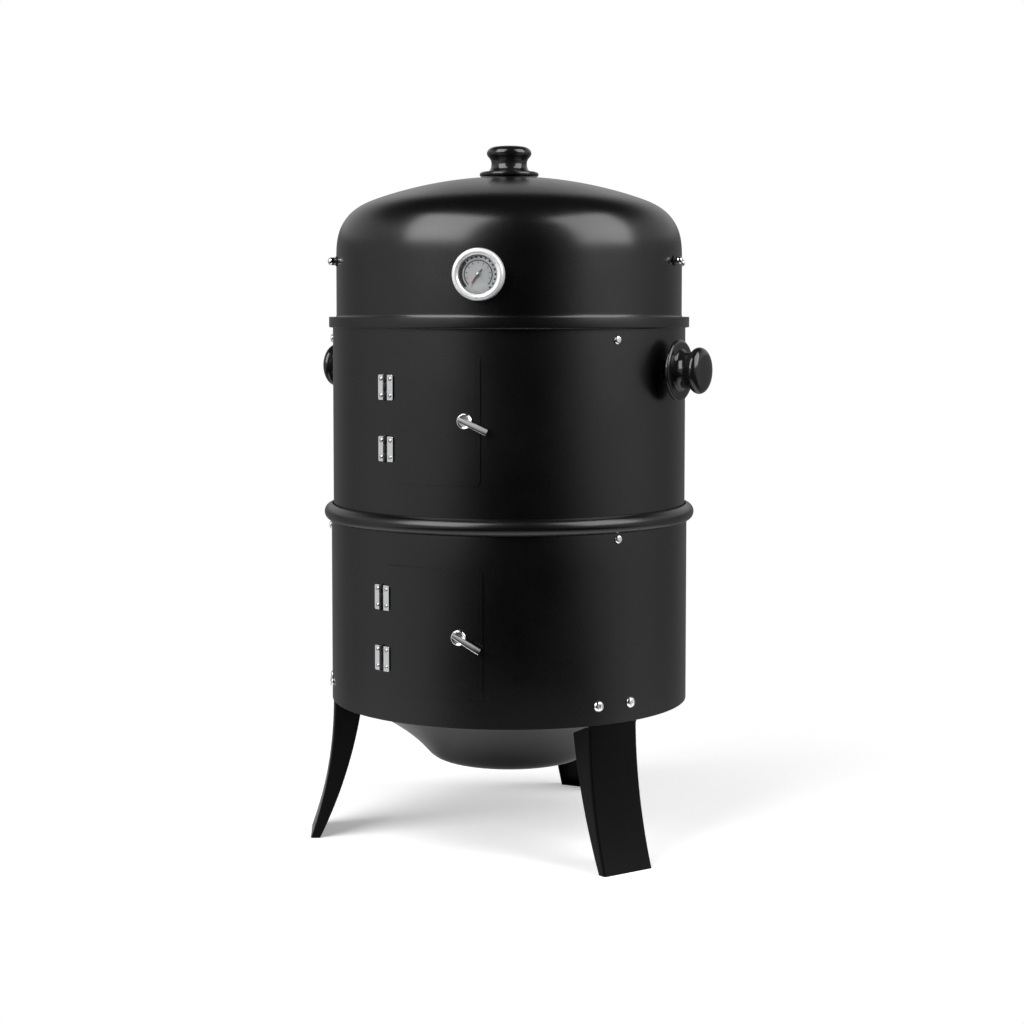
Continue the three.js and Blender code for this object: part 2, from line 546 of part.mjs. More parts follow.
function makeLatch(door) {
  const height = latchHeight(door);
  const seat = doorOuter(door) + 1.3 * GAP;
  const front = seat + BOSS_HEIGHT;
  const camX = doorInner(door) - CAM_DEPTH;
  const boss = spindle([
    [0, camX - 2.6], [SPINDLE_HEAD, camX - 2.6], [SPINDLE_HEAD, camX - GAP], [SPINDLE_RADIUS, camX - GAP],
    [SPINDLE_RADIUS, seat], [BOSS_RADIUS, seat], [BOSS_RADIUS, front - 1], [BOSS_RADIUS - 1.4, front],
    [0, front],
  ]);
  const half = LEVER_WIDTH / 2;
  const neck = half - LEVER_TAPER;
  const strip = [[0, -neck], [LEVER_REACH, -half], [LEVER_REACH, half], [0, neck]];
  const lever = facing(strip, seat + 1.2, front + 1.4);
  const handle = join([boss, lever.rotateX(-radians(door.leverDroop))].map((piece) => at(piece, height)));
  place(`${door.name}_latch_handle`, handle, chrome, latchAzimuth(door));

  const camMiddle = (CAM_REACH - CAM_TAIL) / 2;
  const outline = roundedOutline(CAM_WIDTH / 2, (CAM_REACH + CAM_TAIL) / 2, camMiddle, 3);
  const blade = at(facing(outline, camX, camX + CAM_SHEET), height);
  const spindleHole = at(bar(SPINDLE_RADIUS + GAP, camX - 5, camX + 5), height);
  place(`${door.name}_latch_cam`, cut(solid(blade), [spindleHole]), steel, latchAzimuth(door));
}

// ---- Angle brackets that carry the grates, each with its rivet through the wall ----
// stop is how far a tab at the bracket's top reaches out under the ring above, or 0 for no tab.
function makeBrackets(name, wall, shelf, rivet, top, stop) {
  const outer = seatIn(wall - SHEET, BRACKET_WIDTH / 2);
  const half = BRACKET_WIDTH / 2;
  const web = outer - BRACKET_SHEET;
  const head = wall + GAP;
  const pieces = [
    block([web, -half, shelf - BRACKET_SHEET], [outer, half, top]),
    block([outer - BRACKET_REACH, -half, shelf - BRACKET_SHEET], [outer, half, shelf]),
    at(spindle([
      [0, web - GAP], [RIVET_RADIUS, web - GAP], [RIVET_RADIUS, head], [RIVET_HEAD, head],
      [RIVET_HEAD - 0.6, head + 1.4], [0, head + RIVET_HEIGHT],
    ]), rivet),
  ];
  if (stop) pieces.push(block([web, -half, top - BRACKET_SHEET], [outer + stop, half, top]));
  const bracket = join(pieces);
  BRACKET_AZIMUTHS.forEach((azimuth, i) => place(`${name}_${i + 1}`, bracket, steel, azimuth));
}

// ---- Upper ring, with its side knobs ----
function makeUpperRing() {
  const inner = UPPER_RADIUS - SHEET;
  const top = SHELF_BOTTOM + FLANGE_HEIGHT;
  const ring = solid(lathe([
    [inner, UPPER_BOTTOM], [UPPER_RADIUS, UPPER_BOTTOM], [UPPER_RADIUS, SHELF_BOTTOM],
    [FLANGE_RADIUS - SHELF_BEVEL, SHELF_BOTTOM], [FLANGE_RADIUS, SHELF_BOTTOM + SHELF_BEVEL],
    [FLANGE_RADIUS, top], [FLANGE_RADIUS - SHEET, top], [FLANGE_RADIUS - SHEET, SHELF_BOTTOM + SHEET],
    [inner, SHELF_BOTTOM + SHEET],
  ]));
  const holes = [
    doorCutter(UPPER_DOOR, DOOR_LAP),
    ...wallHoles(HOLE_RADIUS, UPPER_RADIUS, KNOB_LEVEL, KNOB_AZIMUTHS),
    ...wallHoles(RIVET_RADIUS + GAP, UPPER_RADIUS, UPPER_RIVET, BRACKET_AZIMUTHS),
  ];
  place("upper_body", cut(ring, holes), enamel);
  makeBrackets("upper_bracket", UPPER_RADIUS, UPPER_SHELF, UPPER_RIVET, UPPER_RIVET + 8, 0);

  const seat = UPPER_RADIUS + GAP;
  const base = UPPER_RADIUS + KNOB_STANDOFF;
  const collar = spindle([
    [HOLE_RADIUS, seat], [COLLAR_RADIUS, seat], [COLLAR_RADIUS, base + 1], [HOLE_RADIUS, base + 1],
  ]);
  const knob = join([spindle(knobOutline(base), MEDIUM), collar].map((piece) => at(piece, KNOB_LEVEL)));
  const screw = solid(at(spindle(knobScrew(seatIn(inner, SCREW_HEAD + 1), base)), KNOB_LEVEL));
  KNOB_AZIMUTHS.forEach((azimuth, i) => {
    place(`side_knob_${i + 1}`, knob, bakelite, azimuth);
    place(`side_knob_bolt_${i + 1}`, screw, steel, azimuth);
  });
}

// ---- Lower ring ----
function makeLowerRing() {
  const centre = [LOWER_RADIUS - BEAD_SINK, BEAD_MIDDLE];
  const ring = solid(lathe([
    [LOWER_RADIUS - SHEET, LEG_HEIGHT], [LOWER_RADIUS, LEG_HEIGHT],
    ...arc(centre, BEAD_REACH, [-84, 86], 5),
    ...arc(centre, BEAD_REACH - SHEET, [85, -88], 5),
  ]));
  const holes = [
    doorCutter(LOWER_DOOR, DOOR_LAP),
    ...wallHoles(HOLE_RADIUS, LOWER_RADIUS, BOLT_LEVEL, LEG_BOLT_AZIMUTHS),
    ...wallHoles(RIVET_RADIUS + GAP, LOWER_RADIUS, LOWER_RIVET, BRACKET_AZIMUTHS),
  ];
  place("lower_body", cut(ring, holes), enamel);
  makeBrackets("lower_bracket", LOWER_RADIUS, LOWER_SHELF, LOWER_RIVET, UPPER_BOTTOM - GAP, BRACKET_STOP);
}

// ---- Legs: stamped channels that sweep outwards, with a closed sole and a ledge for the bowl ----
const sweep = (height) => LEG_SEAT + LEG_CURVE - Math.sqrt(LEG_CURVE ** 2 - (LEG_BEND - height) ** 2);

function makeLegs() {
  const half = LEG_WIDTH / 2;
  const steps = 8;
  const upTo = (top) => Array.from({ length: steps + 1 }, (_, i) => (top * i) / steps);
  const heights = upTo(LEG_BEND);
  const legTop = LEG_HEIGHT + LEG_OVERLAP;
  const web = [
    ...heights.map((z) => [sweep(z), z]), [LEG_SEAT, legTop], [LEG_SEAT - LEG_SHEET, legTop],
    ...heights.map((z) => [sweep(z) - LEG_SHEET, z]).reverse(),
  ];
  const flange = [
    ...heights.slice(0, -1).map((z) => [sweep(z), z]),
    [LEG_SEAT, LEG_HEIGHT - 1], [LEG_SEAT - 5, LEG_HEIGHT - 2],
    ...upTo(LEG_HEIGHT - LEG_TRIM).map((z) => [sweep(z) - FOOT_DEPTH - LEG_TAPER * z, z]).reverse(),
  ];
  const ledgeTop = LIP_BOTTOM - GAP;
  const ledgeBottom = ledgeTop - LEDGE_SHEET;
  const ledgeHalf = LEDGE_WIDTH / 2;
  const parts = [
    sideways(web, -half, half),
    sideways(flange, -half, -half + LEG_SHEET),
    sideways(flange, half - LEG_SHEET, half),
    block([sweep(0) - FOOT_DEPTH, -half, 0], [sweep(LEG_SHEET) - 0.4, half, LEG_SHEET]),
    block([LEG_SEAT - LEDGE_REACH, -ledgeHalf, ledgeBottom], [LEG_SEAT - 0.5, ledgeHalf, ledgeTop]),
  ];
  const boltHoles = wallHoles(HOLE_RADIUS + 2 * GAP, LEG_SEAT, BOLT_LEVEL, [-BOLT_SPREAD, BOLT_SPREAD]);
  const leg = cut(join(parts), boltHoles);
  LEG_AZIMUTHS.forEach((azimuth, i) => place(`leg_${i + 1}`, leg, enamel, azimuth));

  const spread = radians(BOLT_SPREAD);
  const nutSeat = (LEG_SEAT - LEG_SHEET) / Math.cos(spread) - SCREW_HEAD * Math.sin(spread) - GAP;
  const head = LOWER_RADIUS + GAP;
  const bolt = solid(at(spindle([
    [0, nutSeat - BOLT_NUT], [SCREW_HEAD, nutSeat - BOLT_NUT], [SCREW_HEAD, nutSeat], [SCREW_RADIUS, nutSeat],
    [SCREW_RADIUS, head], [BOLT_HEAD, head], [BOLT_HEAD, head + BOLT_HEAD_HEIGHT / 2],
    [BOLT_HEAD - 1.6, head + BOLT_HEAD_HEIGHT], [0, head + BOLT_HEAD_HEIGHT],
  ]), BOLT_LEVEL));
  LEG_BOLT_AZIMUTHS.forEach((azimuth, i) => place(`leg_bolt_${i + 1}`, bolt, chrome, azimuth));
}

// ---- Bowls and grates ----
// A smooth curve from the bowl's middle to its wall, shaped by how far its two handles reach.
function bowlCurve(radius, bottom, lip, flat, flare, rise) {
  const corners = [[0, bottom], [radius * flat, bottom], [radius * flare, bottom + rise], [radius, lip]];
  return new THREE.CubicBezierCurve(...corners.map(([r, z]) => new THREE.Vector2(r, z)));
}

// The inner skin of a bowl: the curve moved one sheet inwards, square to itself.
function innerSkin(curve, steps) {
  return Array.from({ length: steps + 1 }, (_, i) => {
    const point = curve.getPoint(i / steps);
    const along = curve.getTangent(i / steps);
    return [Math.max(0, point.x - along.y * BOWL_SHEET), point.y + along.x * BOWL_SHEET];
  });
}

// A bowl's closed outline: outer skin, a lip turned out, and the inner skin back to the middle.
function bowlOutline(curve, lipRadius, steps) {
  const outer = curve.getPoints(steps).map(({ x, y }) => [x, y]);
  const [wallRadius, lip] = outer.at(-1);
  const inner = innerSkin(curve, steps).slice(0, -1).reverse();
  const top = lip + BOWL_SHEET;
  return [...outer, [lipRadius, lip], [lipRadius, top], [wallRadius - BOWL_SHEET, top], ...inner];
}

// The height at which a round piece of a radius touches the inner skin.
function heightOn(skin, radius) {
  const next = skin.findIndex(([r]) => r > radius);
  const [[r0, z0], [r1, z1]] = [skin[next - 1], skin[next]];
  return z0 + ((z1 - z0) * (radius - r0)) / (r1 - r0);
}

// A round grate: a rim and parallel bars in one piece.
function grate(radius, bottom, spacing) {
  const top = bottom + GRATE_BAR;
  const inner = radius - GRATE_RIM;
  const rim = lathe([[inner, bottom], [radius, bottom], [radius, top], [inner, top]]);
  const bars = [];
  const count = Math.floor((inner - spacing / 4) / spacing);
  for (let i = -count; i <= count; i++) {
    const x = i * spacing;
    const reach = Math.sqrt((radius - GRATE_RIM / 2) ** 2 - x * x) - 1.5;
    bars.push(block([x - GRATE_BAR / 2, -reach, bottom + 0.4], [x + GRATE_BAR / 2, reach, top - 0.4]));
  }
  return join([rim, ...bars]);
}

function makeInside() {
  const steps = 7;
  const coalBottom = LIP_BOTTOM - BOWL_DEPTH;
  const coalBowl = bowlCurve(BOWL_RADIUS, coalBottom, LIP_BOTTOM, BOWL_FLAT, BOWL_FLARE, 0);
  place("charcoal_bowl", solid(lathe(bowlOutline(coalBowl, LIP_RADIUS, steps))), enamel);
  const waterBottom = WATER_RIM - WATER_DEPTH;
  const waterBowl = bowlCurve(WATER_RADIUS, waterBottom, WATER_RIM, WATER_FLAT, WATER_FLARE, WATER_CURVE);
  place("water_bowl", solid(lathe(bowlOutline(waterBowl, RIM_RADIUS, steps))), enamel);

  const coalHeight = heightOn(innerSkin(coalBowl, steps), COAL_RADIUS + GAP) + GAP;
  place("charcoal_grate", grate(COAL_RADIUS, coalHeight, COAL_PITCH), castIron);
  const grateRadius = RIM_RADIUS - GRATE_PLAY;
  place("lower_grate", grate(grateRadius, WATER_RIM + BOWL_SHEET + GAP, GRATE_PITCH), steel);
  place("upper_grate", grate(grateRadius - 1, UPPER_SHELF + GAP, GRATE_PITCH), steel);
}

makeLid();
makeThermometer();
makeRails();
makeUpperRing();
makeLowerRing();
for (const door of [UPPER_DOOR, LOWER_DOOR]) {
  makeDoor(door);
  makeHinge(door, "hinge_top", door.middle + HINGE_SPACING / 2);
  makeHinge(door, "hinge_bottom", door.middle - HINGE_SPACING / 2);
  makeLatch(door);
}
makeLegs();
makeInside();

export default smoker;
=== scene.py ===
"""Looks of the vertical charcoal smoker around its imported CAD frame. Metres, +Z up, front towards -Y."""
import math

import bmesh
import bpy
from mathutils import Matrix, Vector


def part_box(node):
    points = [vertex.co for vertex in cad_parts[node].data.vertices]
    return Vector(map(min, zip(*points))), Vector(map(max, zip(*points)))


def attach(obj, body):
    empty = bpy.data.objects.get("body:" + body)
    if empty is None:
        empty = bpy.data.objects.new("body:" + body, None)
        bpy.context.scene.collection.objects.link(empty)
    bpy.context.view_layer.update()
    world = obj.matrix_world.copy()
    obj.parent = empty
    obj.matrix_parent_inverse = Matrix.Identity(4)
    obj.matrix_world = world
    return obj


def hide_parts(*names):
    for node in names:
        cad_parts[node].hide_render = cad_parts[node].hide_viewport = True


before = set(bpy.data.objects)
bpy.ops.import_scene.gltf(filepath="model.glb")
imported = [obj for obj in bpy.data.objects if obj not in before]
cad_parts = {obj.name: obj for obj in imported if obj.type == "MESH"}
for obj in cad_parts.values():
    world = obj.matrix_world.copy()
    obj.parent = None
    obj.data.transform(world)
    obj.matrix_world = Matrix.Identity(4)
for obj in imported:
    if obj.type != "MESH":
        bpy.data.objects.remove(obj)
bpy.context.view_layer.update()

MM = 0.001
SHEET = 0.8 * MM  # wall of the pressed rings and the lid
GAP = 0.3 * MM
TURN = 192  # steps round a large ring
SMALL_TURN = 48  # steps round a screw or a boss

# ---- Sizes and places read from the frame ----
lid_low, lid_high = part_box("lid_shell")
upper_low, upper_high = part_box("upper_body")
lower_low, lower_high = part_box("lower_body")
knob_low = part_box("lid_knob")[0]

FLANGE_RADIUS = upper_high.x
UPPER_RADIUS = FLANGE_RADIUS - 4.3 * MM
LOWER_RADIUS = UPPER_RADIUS + 2.4 * MM
LID_RADIUS = UPPER_RADIUS - 4.3 * MM
SKIRT_RADIUS = lid_high.x
SHELF_HEIGHT = upper_high.z - 12.1 * MM
BEAD_RADIUS = lower_high.x
BEAD_REACH = 9.5 * MM
BEAD_MIDDLE = lower_high.z - BEAD_REACH
GAUGE_AZIMUTH = -99.1
GAUGE_RADIUS = 28 * MM
POINTER_BEARING = 217  # compass bearing of the needle on the dial at rest
LEG_AZIMUTHS = (-56, 64, 184)
BRACKET_AZIMUTHS = (-55, 65, 185)
KNOB_AZIMUTHS = (-30, 150)
RAIL_BOLT_AZIMUTHS = (-22, 10, 158, 190)
LEG_BOLT_SPREAD = 6  # degrees from a leg's middle to each of its two bolts

LEG_CURVE = 481 * MM
LEG_WIDTH = 65 * MM
LEG_SHEET = 1.5 * MM
LEG_TRIM = 12 * MM
LEG_TAPER = 0.128
FOOT_DEPTH = 10.7 * MM
LEG_CROWN = 2.4 * MM  # how much the web bulges where it follows the ring

LID_STEP = 2.5 * MM  # spacing of the rows up the lid
DOOR_LAP = 6 * MM  # how far a door reaches past its doorway
BRACKET_HALF = 10 * MM
BRACKET_SHEET = 1.5 * MM
BOWL_SHEET = 1 * MM

# Each door: the wall it hangs on, where its latch sits and how far the latch's lever droops, in degrees
DOORS = {
    "upper": {"wall": UPPER_RADIUS, "latch": -103.3, "droop": 24},
    "lower": {"wall": LOWER_RADIUS, "latch": -105, "droop": 29},
}

# ---- The studio's light ----
FLOOR_GLOW = 0.3
FLOOR_FADE = (0.35, 0.75)  # the pale floor melts into the white surround between these radii
LEFT_WALL = 0.66
RIGHT_WALL = 0.62
GAP_GLOW = 0.0
SIDE_SHARE = 0.35
CEILING = 0.03
SOFTBOX_TARGET = (0, 0, 0.65)
SOFTBOX_SIZE = (2.3, 2.7)


def fitted(inner_radius, half_width):
    """How far out a flat plate sits inside a ring of 32 flat sides."""
    return math.sqrt((inner_radius * math.cos(math.pi / 32)) ** 2 - half_width ** 2) - GAP


def middle_height(node):
    low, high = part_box(node)
    return (low.z + high.z) / 2


# ---------------------------------------------------------------- materials


class Nodes:
    """A small helper to wire a material's node tree."""

    def __init__(self, name):
        self.material = bpy.data.materials.new(name)
        self.material.use_nodes = True
        self.tree = self.material.node_tree
        self.shader = self.tree.nodes["Principled BSDF"]

    def add(self, kind, values=(), **settings):
        node = self.tree.nodes.new(kind)
        for key, value in settings.items():
            setattr(node, key, value)
        for key, value in dict(values).items():
            node.inputs[key].default_value = value
        return node

    def link(self, source, target):
        self.tree.links.new(source, target)

    def base(self, **values):
        for key, value in values.items():
            self.shader.inputs[key.replace("_", " ")].default_value = value

    def colour(self, value, stops):
        self.link(self.colours(value, stops), self.shader.inputs["Base Color"])

    def gloss(self, value):
        self.link(value, self.shader.inputs["Roughness"])

    def coordinates(self, scale=(1, 1, 1)):
        place = self.add("ShaderNodeTexCoord")
        mapping = self.add("ShaderNodeMapping", {"Scale": scale})
        self.link(place.outputs["Object"], mapping.inputs["Vector"])
        return mapping.outputs["Vector"]

    def noise(self, vector, scale, detail=4, rough=0.55):
        node = self.add("ShaderNodeTexNoise", {"Scale": scale, "Detail": detail, "Roughness": rough})
        self.link(vector, node.inputs["Vector"])
        return node.outputs["Fac"]

    def spread(self, value, low, high, source=(0.3, 0.7)):
        limits = {"From Min": source[0], "From Max": source[1], "To Min": low, "To Max": high}
        node = self.add("ShaderNodeMapRange", limits)
        self.link(value, node.inputs["Value"])
        return node.outputs["Result"]

    def colours(self, value, stops):
        node = self.add("ShaderNodeValToRGB")
        ramp = node.color_ramp
        while len(ramp.elements) < len(stops):
            ramp.elements.new(0.5)
        for element, (place, colour) in zip(ramp.elements, stops):
            element.position = place
            element.color = (*colour, 1)
        self.link(value, node.inputs["Fac"])
        return node.outputs["Color"]

    def bump(self, height, strength, distance, previous=None):
        node = self.add("ShaderNodeBump", {"Strength": strength, "Distance": distance})
        self.link(height, node.inputs["Height"])
        if previous:
            self.link(previous, node.inputs["Normal"])
        self.link(node.outputs["Normal"], self.shader.inputs["Normal"])
        return node.outputs["Normal"]


def enamel(name, tone, roughness, gloss):
    """Baked satin black paint on pressed steel: slight orange peel, faint clouds and dust in the gloss."""
    m = Nodes(name)
    m.base(Specular_IOR_Level=gloss, Metallic=0.0, IOR=1.5)
    place = m.coordinates()
    cloud = m.noise(place, 9, 3)
    peel = m.noise(place, 900, 2, 0.5)
    fleck = m.noise(place, 2600, 1, 0.5)
    ripple = m.noise(place, 14, 2, 0.4)
    dark = tuple(c * 0.8 for c in tone)
    light = tuple(c * 1.3 for c in tone)
    m.colour(cloud, [(0.3, dark), (0.7, light)])
    mixed = m.add("ShaderNodeMath", operation="MULTIPLY_ADD")
    m.link(m.spread(fleck, -0.03, 0.03), mixed.inputs[0])
    mixed.inputs[1].default_value = 1.0
    m.link(m.spread(cloud, roughness - 0.03, roughness + 0.03), mixed.inputs[2])
    m.gloss(mixed.outputs[0])
    broad = m.bump(ripple, 0.06, 0.002)
    m.bump(peel, 0.05, 0.0002, broad)
    return m.material


def chrome(name, tone, roughness, grain, metallic=1.0):
    """Plated steel: a bright base with fine polishing marks and a little haze."""
    m = Nodes(name)
    m.base(Metallic=metallic)
    place = m.coordinates()
    haze = m.noise(place, 60, 4)
    marks = m.noise(m.coordinates(grain), 500, 2)
    m.colour(haze, [(0.3, tuple(c * 0.9 for c in tone)), (0.7, tone)])
    m.gloss(m.spread(haze, roughness * 0.7, roughness * 1.3))
    m.bump(marks, 0.05, 0.0002)
    return m.material


def bakelite(name):
    """Moulded black phenolic: a deep gloss with faint flow and moulding texture."""
    m = Nodes(name)
    m.base(Specular_IOR_Level=0.45, IOR=1.5, Coat_Weight=0.15, Coat_Roughness=0.06)
    place = m.coordinates()
    flow = m.noise(place, 30, 5)
    m.colour(flow, [(0.35, (0.004, 0.004, 0.004)), (0.65, (0.009, 0.009, 0.010))])
    m.gloss(m.spread(flow, 0.12, 0.2))
    m.bump(m.noise(place, 350, 2), 0.03, 0.0002)
    return m.material


def rough_iron(name):
    """Cast and seasoned iron for the charcoal grate."""
    m = Nodes(name)
    m.base(Metallic=0.4)
    place = m.coordinates()
    grain = m.noise(place, 420, 6, 0.65)
    stain = m.noise(place, 22, 4)
    m.colour(stain, [(0.3, (0.012, 0.011, 0.011)), (0.7, (0.035, 0.032, 0.03))])
    m.gloss(m.spread(grain, 0.5, 0.8))
    m.bump(grain, 0.4, 0.0004)
    return m.material


def printed(name, light, dark, roughness):
    """Printed or painted flat metal with a fine satin grain."""
    m = Nodes(name)
    place = m.coordinates()
    grain = m.noise(place, 1500, 3)
    m.colour(grain, [(0.3, dark), (0.7, light)])
    m.gloss(m.spread(grain, roughness - 0.06, roughness + 0.06))
    m.bump(grain, 0.04, 0.0001)
    return m.material


def lens_glass(name):
    """Thin clear glass with the faintest smear in its gloss."""
    m = Nodes(name)
    m.base(Transmission_Weight=1.0, IOR=1.45)
    place = m.coordinates()
    smear = m.noise(place, 45, 3)
    m.colour(smear, [(0.3, (0.97, 0.985, 0.98)), (0.7, (1, 1, 1))])
    m.gloss(m.spread(smear, 0.0, 0.03))
    return m.material


ENAMEL = enamel("satin_black_enamel", (0.0014, 0.0014, 0.0015), 0.28, 0.5)
LID_ENAMEL = enamel("lid_black_enamel", (0.0014, 0.0014, 0.0015), 0.25, 0.5)
# The charcoal bowl's enamel is a darker, duller copy of the body's: painted shade under the body.
SHADED_BOWL_ENAMEL = enamel("bowl_enamel_painted_shade", (0.0010, 0.0010, 0.0011), 0.36, 0.09)
# The legs' enamel is a darker, duller copy of the body's: painted shade.
SHADED_LEG_ENAMEL = enamel("leg_enamel_painted_shade", (0.0008, 0.0008, 0.0009), 0.40, 0.08)
CHROME = chrome("bright_chrome", (0.86, 0.87, 0.88), 0.12, (1, 1, 1))
# Satin plated bezel; its half-diffuse white base is a painted reflection that keeps it evenly white.
BEZEL_WITH_PAINTED_REFLECTION = chrome("satin_bezel_painted_reflection", (0.93, 0.935, 0.94), 0.3, (1, 1, 1), 0.45)
STEEL = chrome("zinc_steel", (0.50, 0.51, 0.52), 0.3, (1, 1, 8))
# Hinge knuckles and pins: their dark tone is painted shade of the gap between the hinge leaves.
SHADED_KNUCKLE_STEEL = chrome("knuckle_steel_painted_shade", (0.07, 0.07, 0.075), 0.35, (1, 1, 4))
WIRE = chrome("plated_wire", (0.70, 0.71, 0.72), 0.18, (1, 1, 1))
KNOB = bakelite("black_bakelite")
IRON = rough_iron("seasoned_iron")
DIAL = printed("dial_silver", (0.80, 0.81, 0.82), (0.70, 0.71, 0.72), 0.45)
# Black dial ink, also used for a painted shadow of the bezel on the dial's left edge.
DIAL_INK_AND_SHADOW = printed("dial_ink_and_painted_shadow", (0.045, 0.045, 0.05), (0.02, 0.02, 0.022), 0.5)
DIAL_WHITE = printed("dial_white_ink", (0.88, 0.88, 0.88), (0.80, 0.80, 0.80), 0.5)
NEEDLE_GREY = printed("needle_grey_paint", (0.22, 0.22, 0.23), (0.15, 0.15, 0.16), 0.4)
NEEDLE_RED = printed("needle_red_paint", (0.50, 0.035, 0.03), (0.40, 0.02, 0.02), 0.4)
GLASS = lens_glass("lens_glass")
# Near-black washers under the lid studs: their dark ring is a painted shadow round each stud.
WASHER_SHADOW_PAINT = printed("washer_painted_shadow", (0.012, 0.012, 0.012), (0.008, 0.008, 0.008), 0.6)


# ---------------------------------------------------------------- mesh helpers


def finish_mesh(name, bm, material, sharp=32):
    """Turns a bmesh into an object with smooth shading that breaks at sharp edges."""
    bmesh.ops.remove_doubles(bm, verts=bm.verts, dist=1e-7)
    bmesh.ops.recalc_face_normals(bm, faces=bm.faces)
    mesh = bpy.data.meshes.new(name)
    bm.to_mesh(mesh)
    bm.free()
    mesh.polygons.foreach_set("use_smooth", [True] * len(mesh.polygons))
    mesh.set_sharp_from_angle(angle=math.radians(sharp))
    mesh.materials.append(material)
    obj = bpy.data.objects.new(name, mesh)
    bpy.context.scene.collection.objects.link(obj)
    return obj


def weigh(obj):
    """Keeps flat faces flat next to rounded edges."""
    modifier = obj.modifiers.new("weighted_normals", "WEIGHTED_NORMAL")
    modifier.keep_sharp = True
    return obj


def rounded(points, radius, steps=3):
    """A closed outline with each corner rounded off; a point may carry its own radius as a third value."""
    out = []
    count = len(points)
    for i, point in enumerate(points):
        here = Vector(point[:2])
        size = point[2] if len(point) > 2 else radius
        before = Vector(points[i - 1][:2]) - here
        after = Vector(points[(i + 1) % count][:2]) - here
        if size <= 0 or before.length < 1e-9 or after.length < 1e-9:
            out.append(tuple(here))
            continue
        start = here + before.normalized() * min(size, before.length * 0.45)
        end = here + after.normalized() * min(size, after.length * 0.45)
        for k in range(steps + 1):
            t = k / steps
            out.append(tuple(start * (1 - t) ** 2 + here * 2 * t * (1 - t) + end * t * t))
    return out


def arc(centre, radius, start, end, steps):
    """Points on an arc, angles in degrees."""
    angles = [math.radians(start + (end - start) * i / steps) for i in range(steps + 1)]
    return [(centre[0] + radius * math.cos(a), centre[1] + radius * math.sin(a)) for a in angles]


def spline(points, per_span=6):
    """A smooth open curve through the points (Catmull-Rom)."""
    padded = [points[0], *points, points[-1]]
    out = []
    for i in range(1, len(padded) - 2):
        p0, p1, p2, p3 = (Vector(padded[i + k]) for k in (-1, 0, 1, 2))
        for k in range(per_span):
            t = k / per_span
            out.append(tuple(0.5 * (2 * p1 + (p2 - p0) * t + (2 * p0 - 5 * p1 + 4 * p2 - p3) * t * t
                                    + (3 * p1 - p0 - 3 * p2 + p3) * t ** 3)))
    out.append(tuple(points[-1]))
    return out


def add_turned(bm, outline, steps=SMALL_TURN, matrix=Matrix.Identity(4)):
    """Adds a full turn about Z of a closed (radius, height) outline; points on the axis become poles."""
    rings = []
    for r, z in outline:
        if r < 1e-7:
            rings.append([bm.verts.new(matrix @ Vector((0, 0, z)))])
        else:
            angles = (2 * math.pi * j / steps for j in range(steps))
            points = (Vector((r * math.cos(a), r * math.sin(a), z)) for a in angles)
            rings.append([bm.verts.new(matrix @ point) for point in points])
    for ring, after in zip(rings, rings[1:] + rings[:1]):
        for j in range(steps):
            k = (j + 1) % steps
            corners = [ring[j % len(ring)], ring[k % len(ring)], after[k % len(after)], after[j % len(after)]]
            corners = list(dict.fromkeys(corners))
            if len(corners) > 2:
                bm.faces.new(corners)


def turned(name, outline, material, steps=SMALL_TURN, matrix=Matrix.Identity(4), sharp=32):
    bm = bmesh.new()
    add_turned(bm, outline, steps, matrix)
    return finish_mesh(name, bm, material, sharp)


def facing(azimuth):
    """A matrix that turns local +X to an azimuth in degrees."""
    return Matrix.Rotation(math.radians(azimuth), 4, "Z")


def radial(azimuth, height=0.0):
    """A matrix whose local +Z points out from the axis at an azimuth, with local +Y up."""
    out = Matrix(((0, 0, 1, 0), (1, 0, 0, 0), (0, 1, 0, 0), (0, 0, 0, 1)))
    return facing(azimuth) @ Matrix.Translation((0, 0, height)) @ out


def add_part(bm, part, matrix):
    """Moves a finished bmesh by a matrix and adds it to another one."""
    part.transform(matrix)
    mesh = bpy.data.meshes.new("part")
    part.to_mesh(mesh)
    part.free()
    bm.from_mesh(mesh)
    bpy.data.meshes.remove(mesh)


def add_loft(bm, rings):
    """Adds the skin between rings of points that follow one another, closed at both ends."""
    rings = [[bm.verts.new(point) for point in ring] for ring in rings]
    for ring, after in zip(rings, rings[1:]):
        for j in range(len(ring)):
            k = (j + 1) % len(ring)
            bm.faces.new((ring[j], ring[k], after[k], after[j]))
    bm.faces.new(rings[0][::-1])
    bm.faces.new(rings[-1])


def add_prism(bm, outline, low, high, matrix=Matrix.Identity(4), bevel=0.0):
    """Adds a closed (x, y) outline raised from low to high along Z, with its rims bevelled."""
    part = bmesh.new()
    bottom = [part.verts.new((x, y, low)) for x, y in outline]
    top = [part.verts.new((x, y, high)) for x, y in outline]
    caps = [part.faces.new(bottom[::-1]), part.faces.new(top)]
    for i in range(len(outline)):
        k = (i + 1) % len(outline)
        part.faces.new((bottom[i], bottom[k], top[k], top[i]))
    if bevel:
        rims = list({edge for cap in caps for edge in cap.edges})
        bmesh.ops.bevel(part, geom=rims, offset=bevel, segments=2, profile=0.5, affect="EDGES")
    add_part(bm, part, matrix)


def rectangle(x0, y0, x1, y1):
    return [(x0, y0), (x1, y0), (x1, y1), (x0, y1)]


def add_block(bm, x0, y0, z0, x1, y1, z1, matrix=Matrix.Identity(4), edge=0.3 * MM):
    """Adds a block with all its edges rounded."""
    part = bmesh.new()
    bmesh.ops.create_cube(part, size=1.0)
    middle = Matrix.Translation(((x0 + x1) / 2, (y0 + y1) / 2, (z0 + z1) / 2))
    part.transform(middle @ Matrix.Diagonal((x1 - x0, y1 - y0, z1 - z0, 1)))
    bmesh.ops.bevel(part, geom=list(part.edges), offset=edge, segments=2, profile=0.5, affect="EDGES")
    add_part(bm, part, matrix)


